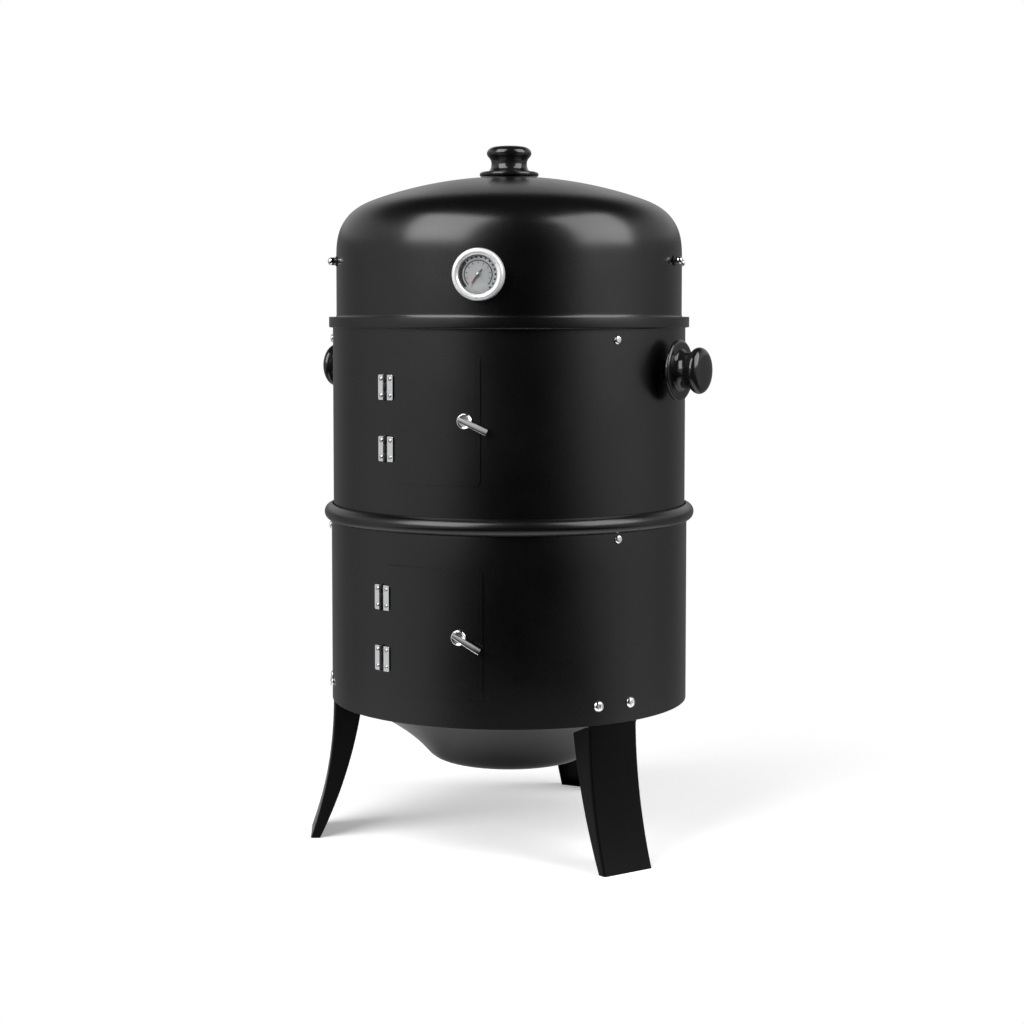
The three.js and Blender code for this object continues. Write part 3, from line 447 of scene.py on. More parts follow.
def wrap(bm, radius, step=math.radians(1.5)):
    """Bends a plate lying in local X (along the arc), Y (up), Z (out) round a vertical axis."""
    xs = [v.co.x for v in bm.verts]
    low, high = min(xs), max(xs)
    cuts = max(1, int((high - low) / radius / step))
    for i in range(1, cuts):
        geometry = list(bm.verts) + list(bm.edges) + list(bm.faces)
        place = (low + (high - low) * i / cuts, 0, 0)
        bmesh.ops.bisect_plane(bm, geom=geometry, plane_co=place, plane_no=(1, 0, 0))
    for v in bm.verts:
        angle, out, up = v.co.x / radius, radius + v.co.z, v.co.y
        v.co = (out * math.cos(angle), out * math.sin(angle), up)


def keep(piece, body, slot, *nodes):
    """Hands a finished piece to the frame: its body and the CAD nodes it stands for; the slot argument is not
    used.
    """
    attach(piece, body)
    if nodes:
        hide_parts(*nodes)
    return piece


# ---------------------------------------------------------------- lid

KNOB_PROFILE = [(23.4, 6.6), (21.6, 9.0), (20.7, 12), (20.5, 15), (21.0, 18), (22.6, 21), (24.7, 23.4),
                (25.7, 26), (25.4, 28.6), (24.0, 31), (20.5, 33.4), (15, 34.6), (8, 35), (0, 35)]


def knob_outline():
    """The mushroom knob: a rounded flange, a waisted neck and a domed cap, base at zero."""
    flange = rounded([(0.1, 0.2, 0), (33.2, 0.2, 0.6), (34, 1.2, 0.8), (34, 4.0, 1.2),
                      (31.4, 5.3, 1.0), (25.2, 5.9, 1.2)], 0.5)
    return [(r * MM, z * MM) for r, z in [(0, 0.2), *flange, *spline(KNOB_PROFILE, 5)]]


def dome_outline(inset):
    """The lid's side, from the edge of its skirt to its apex, set in by the wall's thickness."""
    corner = 53.5 * MM
    dome = 465 * MM
    shoulder_radius = LID_RADIUS - corner
    apex_run = dome - math.sqrt((dome - corner) ** 2 - shoulder_radius ** 2)
    shoulder = lid_high.z - apex_run
    centre = lid_high.z - dome
    angle = math.degrees(math.atan2(shoulder - centre, shoulder_radius))
    skirt_top = lid_low.z + 5 * MM
    skirt, side = SKIRT_RADIUS - inset, LID_RADIUS - inset
    joggle = rounded([(skirt, lid_low.z, 0), (skirt, skirt_top, 2.5 * MM),
                      (side, skirt_top + 6.5 * MM, 2.5 * MM), (side, shoulder, 0)], 0, 5)[:-1]
    start = joggle[-1][1] + LID_STEP
    rows = int((shoulder - start) / LID_STEP)
    wall = [(side, start + (shoulder - start) * i / rows) for i in range(rows)]
    bend_steps = int(corner * math.radians(angle) / LID_STEP)
    bend = arc((shoulder_radius, shoulder), corner - inset, 0, angle, bend_steps)
    top_steps = int(dome * math.radians(90 - angle) / LID_STEP)
    top = arc((0, centre), dome - inset, angle, 90, top_steps)[1:-1]
    return [*joggle, *eased([*wall, *bend, *top], 6), (0, lid_high.z - inset)]


def eased(points, reach):
    """Averages each point with its neighbours, so that a bend starts and ends gradually."""
    out = []
    for i in range(len(points)):
        k = min(reach, i, len(points) - 1 - i)
        near = points[i - k:i + k + 1]
        out.append(tuple(sum(values) / len(near) for values in zip(*near)))
    return out


def make_lid():
    outline = dome_outline(0) + dome_outline(SHEET)[::-1]
    keep(turned("lid_dome", outline, LID_ENAMEL, TURN), "lid", "black_enamel", "lid_shell")
    base = Matrix.Translation((0, 0, knob_low.z))
    keep(turned("lid_knob_cap", knob_outline(), KNOB, 96, base), "lid", "black_knob", "lid_knob")
    seat = LID_RADIUS + GAP
    height = middle_height("lid_bolt_1")
    for i, azimuth in enumerate(RAIL_BOLT_AZIMUTHS, 1):
        stud_outline = rounded([(0, seat - 16 * MM, 0), (2.5 * MM, seat - 16 * MM),
                                (2.5 * MM, seat + 1.2 * MM, 0), (4.5 * MM, seat + 1.2 * MM),
                                (4.5 * MM, seat + 6.6 * MM, 1.0 * MM),
                                (3.4 * MM, seat + 9.2 * MM, 1.2 * MM), (0, seat + 10.2 * MM, 0)], 0.3 * MM)
        stud = turned(f"lid_stud_{i}", stud_outline, CHROME, SMALL_TURN, radial(azimuth, height))
        keep(stud, "lid", "bright_chrome", f"lid_bolt_{i}")
        washer_outline = rounded(rectangle(2.6 * MM, seat, 5.6 * MM, seat + 1.1 * MM), 0.3 * MM)
        # The washer's near-black colour is a painted shadow round the stud.
        washer = turned(f"lid_washer_{i}", washer_outline, WASHER_SHADOW_PAINT, SMALL_TURN, radial(azimuth, height))
        keep(washer, "lid", "plain_steel")


# ---------------------------------------------------------------- thermometer


def make_thermometer():
    face = radial(GAUGE_AZIMUTH, middle_height("thermometer_bezel"))
    front = LID_RADIUS + 13.5 * MM
    back = LID_RADIUS + 0.6 * MM
    make_gauge_case(face, front, back)
    make_gauge_face(face, front)
    make_needle(face, front - 6 * MM)


def make_gauge_case(face, front, back):
    """The cup with its stem, and the bright bezel round the glass."""
    radius = GAUGE_RADIUS
    shell = rounded([(0, back, 0), (radius - 1.1 * MM, back), (radius - 1.1 * MM, front - 2.8 * MM),
                     (radius - 1.9 * MM, front - 2.8 * MM), (radius - 1.9 * MM, back + 1.2 * MM),
                     (0, back + 1.2 * MM, 0)], 0.3 * MM)
    stem = rounded([(0, back - 54.6 * MM, 0), (3 * MM, back - 54.6 * MM, 1 * MM), (3 * MM, back - 12.6 * MM),
                    (5 * MM, back - 12.6 * MM), (5 * MM, back - 0.1 * MM), (0, back - 0.1 * MM, 0)], 0.3 * MM)
    bm = bmesh.new()
    add_turned(bm, shell, 96, face)
    add_turned(bm, stem, SMALL_TURN, face)
    keep(finish_mesh("gauge_case", bm, STEEL), "lid", "plain_steel", "thermometer_case")

    lip = [(radius - 0.8 * MM, back + 1.5 * MM), (radius, back + 1.5 * MM)]
    crown = spline([(radius, front - 3.4 * MM), (radius - 0.9 * MM, front - 1.1 * MM),
                    (radius - 3.2 * MM, front - 0.05 * MM), (radius - 5.4 * MM, front - 0.5 * MM),
                    (radius - 7 * MM, front - 2.0 * MM)], 5)
    underside = [(radius - 7 * MM, front - 2.4 * MM), (radius - 0.8 * MM, front - 2.4 * MM)]
    # The bezel's whiteness is partly a painted reflection held in its half-diffuse base.
    bezel = turned("gauge_bezel", lip + crown + underside, BEZEL_WITH_PAINTED_REFLECTION, 128, face)
    keep(bezel, "lid", "bright_chrome", "thermometer_bezel")


def make_gauge_face(face, front):
    """The printed dial and the glass over it."""
    radius = GAUGE_RADIUS
    dial_front = front - 6.8 * MM
    disc = rounded([(0, dial_front - 0.6 * MM, 0), (radius - 2.3 * MM, dial_front - 0.6 * MM),
                    (radius - 2.3 * MM, dial_front), (0, dial_front, 0)], 0.1 * MM)
    keep(turned("gauge_dial", disc, DIAL, 96, face), "lid", "dial_face", "thermometer_dial")
    make_dial_print(face, dial_front)

    pane = [(0, front - 4.2 * MM), (radius - 2.3 * MM, front - 4.2 * MM),
            (radius - 2.3 * MM, front - 3.1 * MM), (radius * 0.6, front - 2.75 * MM),
            (radius * 0.3, front - 2.62 * MM), (0, front - 2.6 * MM)]
    keep(turned("gauge_lens", pane, GLASS, 96, face), "lid", "clear_glass", "thermometer_lens")


def make_needle(face, level):
    """The pointer in two colours on its hub; local +Y is straight up on the dial."""
    bm = bmesh.new()
    spin = face @ facing(-POINTER_BEARING)
    tip = [(-0.5, 11.6), (-0.95, 5.5), (0.95, 5.5), (0.5, 11.6)]
    add_prism(bm, [(x * MM, y * MM) for x, y in tip], level, level + 0.5 * MM, spin, 0.12 * MM)
    keep(finish_mesh("gauge_pointer_tip", bm, NEEDLE_RED), "needle", "needle_red", "thermometer_needle")
    bm = bmesh.new()
    tail = [(-0.95, 5.45), (-1.05, 1), (-0.8, -7), (0.8, -7), (1.05, 1), (0.95, 5.45)]
    add_prism(bm, [(x * MM, y * MM) for x, y in tail], level, level + 0.5 * MM, spin, 0.12 * MM)
    keep(finish_mesh("gauge_pointer_tail", bm, NEEDLE_GREY), "needle", "plain_steel")
    hub = rounded([(0, level - 0.3 * MM, 0), (2.4 * MM, level - 0.3 * MM),
                   (2.4 * MM, level + 0.9 * MM, 0.5 * MM), (1 * MM, level + 1.3 * MM, 0.4 * MM),
                   (0, level + 1.35 * MM, 0)], 0.2 * MM)
    keep(turned("gauge_hub", hub, STEEL, SMALL_TURN, face), "needle", "plain_steel")


def add_dial_arc(bm, face, inner, outer, start, end, low, high):
    """Adds a thin raised band on the dial, between two compass bearings in degrees."""
    steps = max(2, int(abs(end - start) / 4))
    bearings = [math.radians(start + (end - start) * i / steps) for i in range(steps + 1)]
    outline = [(outer * math.sin(b), outer * math.cos(b)) for b in bearings]
    outline += [(inner * math.sin(b), inner * math.cos(b)) for b in reversed(bearings)]
    add_prism(bm, outline, low, high, face)


def make_dial_print(face, level):
    """A plain scale: an arc, a band in two tones and small ticks, with no lettering; the band's solid dark
    stretch along the left edge is a painted shadow of the bezel.
    """
    low, high = level + 0.02 * MM, level + 0.09 * MM
    bm = bmesh.new()
    add_dial_arc(bm, face, 14.4 * MM, 15.5 * MM, 225, 495, low, high)
    # Solid dark stretch along the dial's left edge: a painted shadow of the bezel.
    add_dial_arc(bm, face, 17.0 * MM, 20.2 * MM, 226, 314, low, high)
    for bearing in range(318, 496, 16):
        add_dial_arc(bm, face, 17.6 * MM, 19.4 * MM, bearing, bearing + 7, low, high)
    for bearing in range(252, 495, 27):  # small ticks inside the scale
        add_dial_arc(bm, face, 11.8 * MM, 13.6 * MM, bearing - 1.8, bearing + 1.8, low, high)
    keep(finish_mesh("dial_scale_and_shadow", bm, DIAL_INK_AND_SHADOW), "lid", "dial_face")
    bm = bmesh.new()
    for bearing in range(326, 490, 16):
        add_dial_arc(bm, face, 17.6 * MM, 19.4 * MM, bearing, bearing + 7, low, high)
    keep(finish_mesh("dial_band_light", bm, DIAL_WHITE), "lid", "dial_face")


# ---------------------------------------------------------------- body rings


def make_ring(name, outline, doorway):
    """A turned wall with a doorway left out between two azimuths and two heights, its edges closed."""
    start, end, low, high = doorway
    bm = bmesh.new()
    span = math.radians(end - start)
    inside = max(1, round(span / (2 * math.pi / TURN)))
    angles = [math.radians(start) + span * i / inside for i in range(inside + 1)]
    rest = TURN - inside
    angles += [math.radians(end) + (2 * math.pi - span) * i / rest for i in range(1, rest)]
    rings = [[bm.verts.new((r * math.cos(a), r * math.sin(a), z)) for a in angles] for r, z in outline]
    count = len(angles)
    for i, ring in enumerate(rings):
        after = rings[(i + 1) % len(rings)]
        z0, z1 = outline[i][1], outline[(i + 1) % len(outline)][1]
        for j in range(count):
            open_here = j < inside and min(z0, z1) > low - 1e-6 and max(z0, z1) < high + 1e-6
            if not open_here:
                k = (j + 1) % count
                bm.faces.new((ring[j], ring[k], after[k], after[j]))
    for vert in [v for v in bm.verts if not v.link_faces]:
        bm.verts.remove(vert)
    border = [edge for edge in bm.edges if len(edge.link_faces) == 1]
    bmesh.ops.bridge_loops(bm, edges=border)
    return finish_mesh(name, bm, ENAMEL, 30)


def door_azimuths(door):
    """The azimuths in degrees of the two upright edges of a door in the frame."""
    verts = [v.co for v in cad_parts[f"{door}_door"].data.vertices]
    azimuths = [math.degrees(math.atan2(v.y, v.x)) for v in verts]
    return min(azimuths), max(azimuths)


def doorway_of(door, ring_radius):
    """Azimuths and heights of the doorway that a door covers, inside the door's edges by the lap."""
    low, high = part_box(f"{door}_door")
    start, end = door_azimuths(door)
    margin = math.degrees(DOOR_LAP / ring_radius)
    return start + margin, end - margin, low.z + DOOR_LAP, high.z - DOOR_LAP


def wall_levels(radius, low, high, doorway):
    """Points up a straight wall, with rows on the doorway's two edges and none close to them."""
    count = 6
    edges = doorway[2:]
    levels = [low + (high - low) * i / count for i in range(count + 1)]
    levels = [z for z in levels if all(abs(z - edge) >= 4 * MM for edge in edges)]
    return [(radius, z) for z in sorted([*levels, *edges])]


def make_upper_ring():
    doorway = doorway_of("upper", UPPER_RADIUS)
    inner = UPPER_RADIUS - SHEET
    flange_in = FLANGE_RADIUS - SHEET
    below = SHELF_HEIGHT - 20 * MM
    shelf = rounded([(inner, below, 0), (inner, SHELF_HEIGHT + SHEET, 0.6 * MM),
                     (flange_in, SHELF_HEIGHT + SHEET, 0.8 * MM), (flange_in, upper_high.z, 0.35 * MM),
                     (FLANGE_RADIUS, upper_high.z, 0.35 * MM), (FLANGE_RADIUS, SHELF_HEIGHT, 1.4 * MM),
                     (UPPER_RADIUS, SHELF_HEIGHT, 0.9 * MM), (UPPER_RADIUS, below, 0)], 0, 4)[1:-1]
    inside = wall_levels(inner, upper_low.z + 0.3 * MM, SHELF_HEIGHT - 4 * MM, doorway)
    outside = wall_levels(UPPER_RADIUS, upper_low.z + 0.3 * MM, SHELF_HEIGHT - 4 * MM, doorway)[::-1]
    hem = [(UPPER_RADIUS - 0.3 * MM, upper_low.z), (inner + 0.3 * MM, upper_low.z)]
    wall = make_ring("upper_ring_wall", inside + shelf + outside + hem, doorway)
    keep(wall, "upper_ring", "black_enamel", "upper_body")

    height = middle_height("side_knob_1")
    base = UPPER_RADIUS + 11.4 * MM
    for i, azimuth in enumerate(KNOB_AZIMUTHS, 1):
        out = radial(azimuth, height)
        knob = turned(f"side_knob_cap_{i}", [(r, base + h) for r, h in knob_outline()], KNOB, 96, out)
        keep(knob, "upper_ring", "black_knob", f"side_knob_{i}")
        collar = rounded(rectangle(3.4 * MM, UPPER_RADIUS + GAP, 11 * MM, base + 0.1 * MM), 0.8 * MM)
        keep(turned(f"side_knob_spacer_{i}", collar, KNOB, SMALL_TURN, out), "upper_ring", "black_knob")


def make_lower_ring():
    doorway = doorway_of("lower", LOWER_RADIUS)
    inner = LOWER_RADIUS - SHEET
    middle = (BEAD_RADIUS - BEAD_REACH, BEAD_MIDDLE)
    inside = wall_levels(inner, lower_low.z + 0.3 * MM, BEAD_MIDDLE - 14 * MM, doorway)
    outside = wall_levels(LOWER_RADIUS, lower_low.z + 0.3 * MM, BEAD_MIDDLE - 14 * MM, doorway)[::-1]
    inner_bead = arc(middle, BEAD_REACH - SHEET, -88, 85, 22)
    outer_bead = arc(middle, BEAD_REACH, 86, -84, 24)
    hem = [(LOWER_RADIUS - 0.3 * MM, lower_low.z), (inner + 0.3 * MM, lower_low.z)]
    wall = make_ring("lower_ring_wall", inside + inner_bead + outer_bead + outside + hem, doorway)
    keep(wall, "lower_ring", "black_enamel", "lower_body")


# ---------------------------------------------------------------- doors, hinges and latches


def make_door(door, wall):
    """The door's curved panel, bent from a flat plate with rounded corners."""
    low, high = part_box(f"{door}_door")
    start, end = door_azimuths(door)
    radius = wall + 0.6 * MM
    half = math.radians(end - start) / 2 * radius
    outline = rounded(rectangle(-half, low.z, half, high.z), 6 * MM, 6)
    bm = bmesh.new()
    add_prism(bm, outline, 0, 1 * MM, bevel=0.35 * MM)
    wrap(bm, radius)
    bm.transform(facing((start + end) / 2))
    panel = weigh(finish_mesh(f"{door}_door_panel", bm, ENAMEL, 40))
    keep(panel, f"{door}_door", "black_enamel", f"{door}_door")


def screw_outline(base, radius, height):
    """A pan-headed screw's head."""
    return rounded([(0, base, 0), (radius, base), (radius, base + height * 0.45, height * 0.4),
                    (radius * 0.6, base + height, height * 0.3), (0, base + height, 0)], 0.1 * MM)


def make_hinge(door, end, wall):
    """Two leaves with interlocking knuckles on one pin."""
    node = f"{door}_hinge_{end}"
    pin_low, pin_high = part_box(f"{node}_pin")
    leaf_low, leaf_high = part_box(f"{node}_frame_leaf")
    axis_point = (pin_low + pin_high) / 2
    azimuth = math.degrees(math.atan2(axis_point.y, axis_point.x))
    axis = math.hypot(axis_point.x, axis_point.y)
    middle = (leaf_low.z + leaf_high.z) / 2
    half = (leaf_high.z - leaf_low.z) / 2
    turn = radial(azimuth, middle)
    knuckle = 4.6 * MM
    barrel_radius = 2.2 * MM
    upright = facing(azimuth) @ Matrix.Translation((axis, 0, middle))

    def add_knuckle(bm, side, level, low, high):
        reach = side * 2.6 * MM
        strap = rectangle(min(0, reach), low + 0.15 * MM, max(0, reach), high - 0.15 * MM)
        strap_back = min(level, axis - barrel_radius) + 0.05 * MM
        add_prism(bm, strap, strap_back, level + 0.95 * MM, turn, 0.1 * MM)
        add_turned(bm, rounded(rectangle(1.25 * MM, low, barrel_radius, high), 0.25 * MM), 32, upright)

    def leaf(kind, side, level, spans):
        bm = bmesh.new()
        near, far = sorted((side * 1.7 * MM, side * 11.5 * MM))
        outline = rounded(rectangle(near, -half, far, half), 1.6 * MM, 4)
        add_prism(bm, outline, level, level + 1 * MM, turn, 0.2 * MM)
        body = f"{door}_ring" if kind == "frame" else f"{door}_door"
        piece = weigh(finish_mesh(f"{node}_{kind}_plate", bm, CHROME, 35))
        keep(piece, body, "bright_chrome", f"{node}_{kind}_leaf")
        bm = bmesh.new()
        for low, high in spans:
            add_knuckle(bm, side, level, low, high)
        # Dark knuckles: painted shade of the gap between the leaves.
        keep(finish_mesh(f"{node}_{kind}_knuckle", bm, SHADED_KNUCKLE_STEEL), body, "plain_steel")
        bm = bmesh.new()
        for height in (-half * 0.66, half * 0.66):
            place = turn @ Matrix.Translation((side * 7.4 * MM, height, 0))
            add_turned(bm, screw_outline(level + 0.95 * MM, 2.3 * MM, 1.1 * MM), 24, place)
        keep(finish_mesh(f"{node}_{kind}_screws", bm, STEEL), body, "plain_steel")

    leaf("frame", -1, wall + 0.39 * MM, [(-half, -knuckle - GAP), (knuckle + GAP, half)])
    leaf("door", 1, wall + 1.9 * MM, [(-knuckle, knuckle)])
    tip = half + GAP
    pin = rounded([(0, -tip - 0.6 * MM, 0), (1.1 * MM, -tip - 0.6 * MM), (1.1 * MM, tip, 0), (2.2 * MM, tip),
                   (2.0 * MM, tip + 1 * MM, 0.4 * MM), (0, tip + 1.2 * MM, 0)], 0.2 * MM)
    # Dark pin: painted shade of the gap between the leaves.
    rod = turned(f"{node}_pin_rod", pin, SHADED_KNUCKLE_STEEL, 32, upright)
    keep(rod, f"{door}_ring", "plain_steel", f"{node}_pin")


def make_latch(door, wall, azimuth, droop):
    """The latch's round boss and drooping lever outside, and its spindle through the door."""
    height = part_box(f"{door}_latch_cam")[0].z + 7 * MM
    seat = wall + 1.99 * MM
    cam = wall - 5.4 * MM
    out = radial(azimuth, height)
    boss = rounded([(0, seat, 0), (8.5 * MM, seat), (8.5 * MM, seat + 2.6 * MM, 0.9 * MM),
                    (7.3 * MM, seat + 3.6 * MM, 0.5 * MM), (6.2 * MM, seat + 2.9 * MM, 0.4 * MM),
                    (0, seat + 2.9 * MM, 0)], 0.4 * MM, 4)
    shaft = rounded([(0, cam - 2.6 * MM, 0), (4.6 * MM, cam - 2.6 * MM), (4.6 * MM, cam - GAP),
                     (3 * MM, cam - GAP), (3 * MM, seat - 0.05 * MM), (0, seat - 0.05 * MM, 0)], 0.3 * MM)
    bm = bmesh.new()
    add_turned(bm, boss, 64, out)
    add_turned(bm, shaft, 32, out)
    add_lever(bm, out @ facing(-droop), seat)
    lever = finish_mesh(f"{door}_latch_lever", bm, CHROME, 38)
    keep(lever, f"{door}_latch", "bright_chrome", f"{door}_latch_handle")


def add_lever(bm, matrix, seat):
    """Adds the latch's lever: a flat strip with rolled sides that crosses the boss, wider at its cut end."""
    stations = 14
    start, end = -6.4 * MM, 28 * MM
    depth = 2.6 * MM
    rings = []
    for i in range(stations + 1):
        t = i / stations
        x = start + (end - start) * t
        half = (2.9 + 0.9 * min(1, t * 1.6)) * MM
        lift = seat + (3.9 + 0.7 * math.sin(t * math.pi / 2)) * MM
        section = rounded([(-half, -depth / 2), (half, -depth / 2), (half, depth / 2, 0.9 * MM),
                           (0, depth / 2 + 0.25 * MM, 1.5 * MM), (-half, depth / 2, 0.9 * MM)], 0.6 * MM, 3)
        rings.append([matrix @ Vector((x, y, lift + z)) for y, z in section])
    add_loft(bm, rings)


# ---------------------------------------------------------------- legs and fasteners


def leg_depth(height, ring_bottom):
    """How deep the channel is: it grows upwards, then its flanges run out just below the ring."""
    cut_start, cut_end = ring_bottom - LEG_TRIM, ring_bottom - 2 * MM
    depth = FOOT_DEPTH + LEG_TAPER * min(height, cut_start)
    share = min(1, max(0, (height - cut_start) / (cut_end - cut_start)))
    return depth + (5 * MM - depth) * share if height <= cut_end else LEG_SHEET + 0.05 * MM


def leg_section(height, seat, bend, ring_bottom):
    """Outline of the channel at a height: the web outside, crowned to the ring at the top, flanges inside."""
    run = max(0, bend - height)
    outer = seat + LEG_CURVE - math.sqrt(LEG_CURVE ** 2 - run ** 2)
    depth = leg_depth(height, ring_bottom)
    half = LEG_WIDTH / 2
    inner = half - LEG_SHEET
    crown = LEG_CROWN * min(1, height / ring_bottom)
    web_in = outer - LEG_SHEET
    flange_in = min(outer - depth, web_in - 0.05 * MM)
    radius = min(3.2 * MM, depth * 0.85)
    radius_in = min(1.8 * MM, (web_in - flange_in) * 0.85)
    edge = 0.4 * MM
    shares = [i / 4 for i in range(-3, 4)]
    corners = [(outer, -half, radius)]
    corners += [(outer + crown * (1 - t * t), half * t, 0) for t in shares]
    corners += [(outer, half, radius), (flange_in, half, edge)]
    corners += [(flange_in, inner, edge), (web_in, inner, radius_in)]
    corners += [(web_in + crown * (1 - t * t), inner * t, 0) for t in reversed(shares)]
    corners += [(web_in, -inner, radius_in), (flange_in, -inner, edge), (flange_in, -half, edge)]
    return rounded(corners, 0, 5)


def make_legs():
    """Curved channels bolted inside the lower ring, each with a sole plate and a ledge for the bowl."""
    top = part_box("leg_1")[1].z
    half = LEG_WIDTH / 2
    seat = math.sqrt((LOWER_RADIUS - SHEET) ** 2 - half ** 2) - GAP
    bend = lower_low.z + 6 * MM
    levels = [0, 0.4 * MM] + [(lower_low.z - LEG_TRIM) * i / 32 for i in range(1, 32)]
    levels += [lower_low.z - LEG_TRIM + (LEG_TRIM - 2 * MM) * i / 5 for i in range(6)]
    levels += [lower_low.z - 1.5 * MM, bend, top - 0.4 * MM, top]
    sections = [(z, leg_section(z, seat, bend, lower_low.z)) for z in sorted(set(levels))]
    for i, azimuth in enumerate(LEG_AZIMUTHS, 1):
        matrix = facing(azimuth)
        bm = bmesh.new()
        add_loft(bm, [[matrix @ Vector((x, y, z)) for x, y in section] for z, section in sections])
        foot = seat + LEG_CURVE - math.sqrt(LEG_CURVE ** 2 - bend ** 2)
        sole_half = half - 1.7 * MM
        add_block(bm, foot - 10.6 * MM, -sole_half, 0, foot - 1.9 * MM, sole_half, LEG_SHEET, matrix)
        ledge = lower_low.z + 3 * MM
        add_block(bm, seat - 9.4 * MM, -12 * MM, ledge - 2 * MM, seat - 1.55 * MM, 12 * MM, ledge, matrix)
        # Darker, duller enamel on the legs: painted shade.
        piece = weigh(finish_mesh(f"leg_channel_{i}", bm, SHADED_LEG_ENAMEL, 40))
        keep(piece, "lower_ring", "black_enamel", f"leg_{i}")


def make_fasteners():
    """Bolts that hold the legs, and the rivet heads of the grate brackets."""
    height = middle_height("leg_bolt_1")
    head = LOWER_RADIUS + GAP
    dome = rounded([(0, head - 10 * MM, 0), (3 * MM, head - 10 * MM), (3 * MM, head, 0), (6 * MM, head),
                    (6 * MM, head + 0.9 * MM, 0.4 * MM), (4.4 * MM, head + 2.7 * MM, 1.2 * MM),
                    (2.6 * MM, head + 3 * MM, 0.3 * MM), (2.3 * MM, head + 2.2 * MM, 0.2 * MM),
                    (0, head + 2.2 * MM, 0)], 0.3 * MM, 4)
    hexagon = rounded(arc((0, 0), 5.6 * MM, 0, 300, 5), 0.6 * MM, 2)
    azimuths = [leg + side for leg in LEG_AZIMUTHS for side in (-LEG_BOLT_SPREAD, LEG_BOLT_SPREAD)]
    for i, azimuth in enumerate(azimuths, 1):
        out = radial(azimuth, height)
        bm = bmesh.new()
        add_turned(bm, dome, SMALL_TURN, out)
        add_prism(bm, hexagon, head - 9.3 * MM, head - 6.9 * MM, out, 0.3 * MM)
        keep(finish_mesh(f"leg_screw_{i}", bm, CHROME), "lower_ring", "bright_chrome", f"leg_bolt_{i}")
    for ring, door in DOORS.items():
        for i, azimuth in enumerate(BRACKET_AZIMUTHS, 1):
            make_bracket(ring, i, azimuth, door["wall"])


def make_bracket(ring, i, azimuth, wall):
    """An angle bracket inside the wall with its riveted screw; the head shows outside."""
    low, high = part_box(f"{ring}_bracket_{i}")
    half, sheet = BRACKET_HALF, BRACKET_SHEET
    outer = fitted(wall - SHEET, half)
    rivet = SHELF_HEIGHT - 12.4 * MM if ring == "upper" else BEAD_MIDDLE - BEAD_REACH - 6.3 * MM
    matrix = facing(azimuth)
    bm = bmesh.new()
    add_block(bm, outer - sheet, -half, low.z, outer, half, high.z, matrix)
    add_block(bm, outer - 22 * MM, -half, low.z, outer - sheet + 0.01 * MM, half, low.z + sheet, matrix)
    if ring == "lower":
        add_block(bm, outer - 0.01 * MM, -half, high.z - sheet, outer + 4 * MM, half, high.z, matrix)
    bracket = weigh(finish_mesh(f"{ring}_grate_bracket_{i}", bm, STEEL, 35))
    keep(bracket, f"{ring}_ring", "plain_steel", f"{ring}_bracket_{i}")
    seat = wall + GAP
    head = rounded([(0, seat, 0), (4.65 * MM, seat), (4.65 * MM, seat + 0.7 * MM, 0.3 * MM),
                    (3.4 * MM, seat + 2 * MM, 0.9 * MM), (0, seat + 2.2 * MM, 0)], 0.2 * MM, 4)
    shank_low, shank_high = seat - 6.5 * MM, seat - 0.05 * MM
    shank = [(0, shank_low), (2 * MM, shank_low), (2 * MM, shank_high), (0, shank_high)]
    bm = bmesh.new()
    out = radial(azimuth, rivet)
    add_turned(bm, head, SMALL_TURN, out)
    add_turned(bm, shank, 24, out)
    keep(finish_mesh(f"{ring}_rivet_{i}", bm, CHROME), f"{ring}_ring", "bright_chrome")


# ---------------------------------------------------------------- bowls and grates


def bezier(points, steps):
    """Points along a cubic curve given by its two ends and two handles."""
    a, b, c, d = (Vector(p) for p in points)
    out = []
    for i in range(steps + 1):
        t = i / steps
        out.append(tuple(a * (1 - t) ** 3 + b * 3 * t * (1 - t) ** 2 + c * 3 * t * t * (1 - t) + d * t ** 3))
    return out


def bowl_outline(curve, lip_radius, lip):
    """Outer and inner skins of a pressed bowl, offset along the normal and joined by a turned lip."""
    sheet = BOWL_SHEET
    inner = []
    for i, (r, z) in enumerate(curve):
        before, after = Vector(curve[max(0, i - 1)]), Vector(curve[min(len(curve) - 1, i + 1)])
        along = (after - before).normalized()
        inner.append((max(0, r - along.y * sheet), z + along.x * sheet))
    inner[0] = (0, curve[0][1] + sheet)
    rim = rounded([(*curve[-1], 0.8 * MM), (lip_radius, lip, 0.4 * MM), (lip_radius, lip + sheet, 0.4 * MM),
                   (curve[-1][0] - sheet, lip + sheet, 1.4 * MM)], 0, 4)
    return [*curve[:-1], *rim, *inner[-2::-1]]


def make_bowls():
    low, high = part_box("charcoal_bowl")
    lip = high.z - BOWL_SHEET
    wide = high.x - 5.7 * MM
    curve = bezier([(0, low.z), (wide * 0.78, low.z), (wide * 0.2, low.z), (wide, lip)], 48)
    # Darker, duller enamel on the bowl: painted shade under the body.
    pan = turned("charcoal_pan", bowl_outline(curve, high.x, lip), SHADED_BOWL_ENAMEL, TURN)
    keep(pan, "charcoal_bowl", "black_enamel", "charcoal_bowl")
    low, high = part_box("water_bowl")
    lip = high.z - BOWL_SHEET
    wide = fitted(LOWER_RADIUS - SHEET, BRACKET_HALF) - 24 * MM
    curve = bezier([(0, low.z), (wide * 0.8, low.z), (wide * 0.97, low.z + 8 * MM), (wide, lip)], 40)
    pan = turned("water_pan", bowl_outline(curve, high.x, lip), ENAMEL, TURN)
    keep(pan, "water_bowl", "black_enamel", "water_bowl")


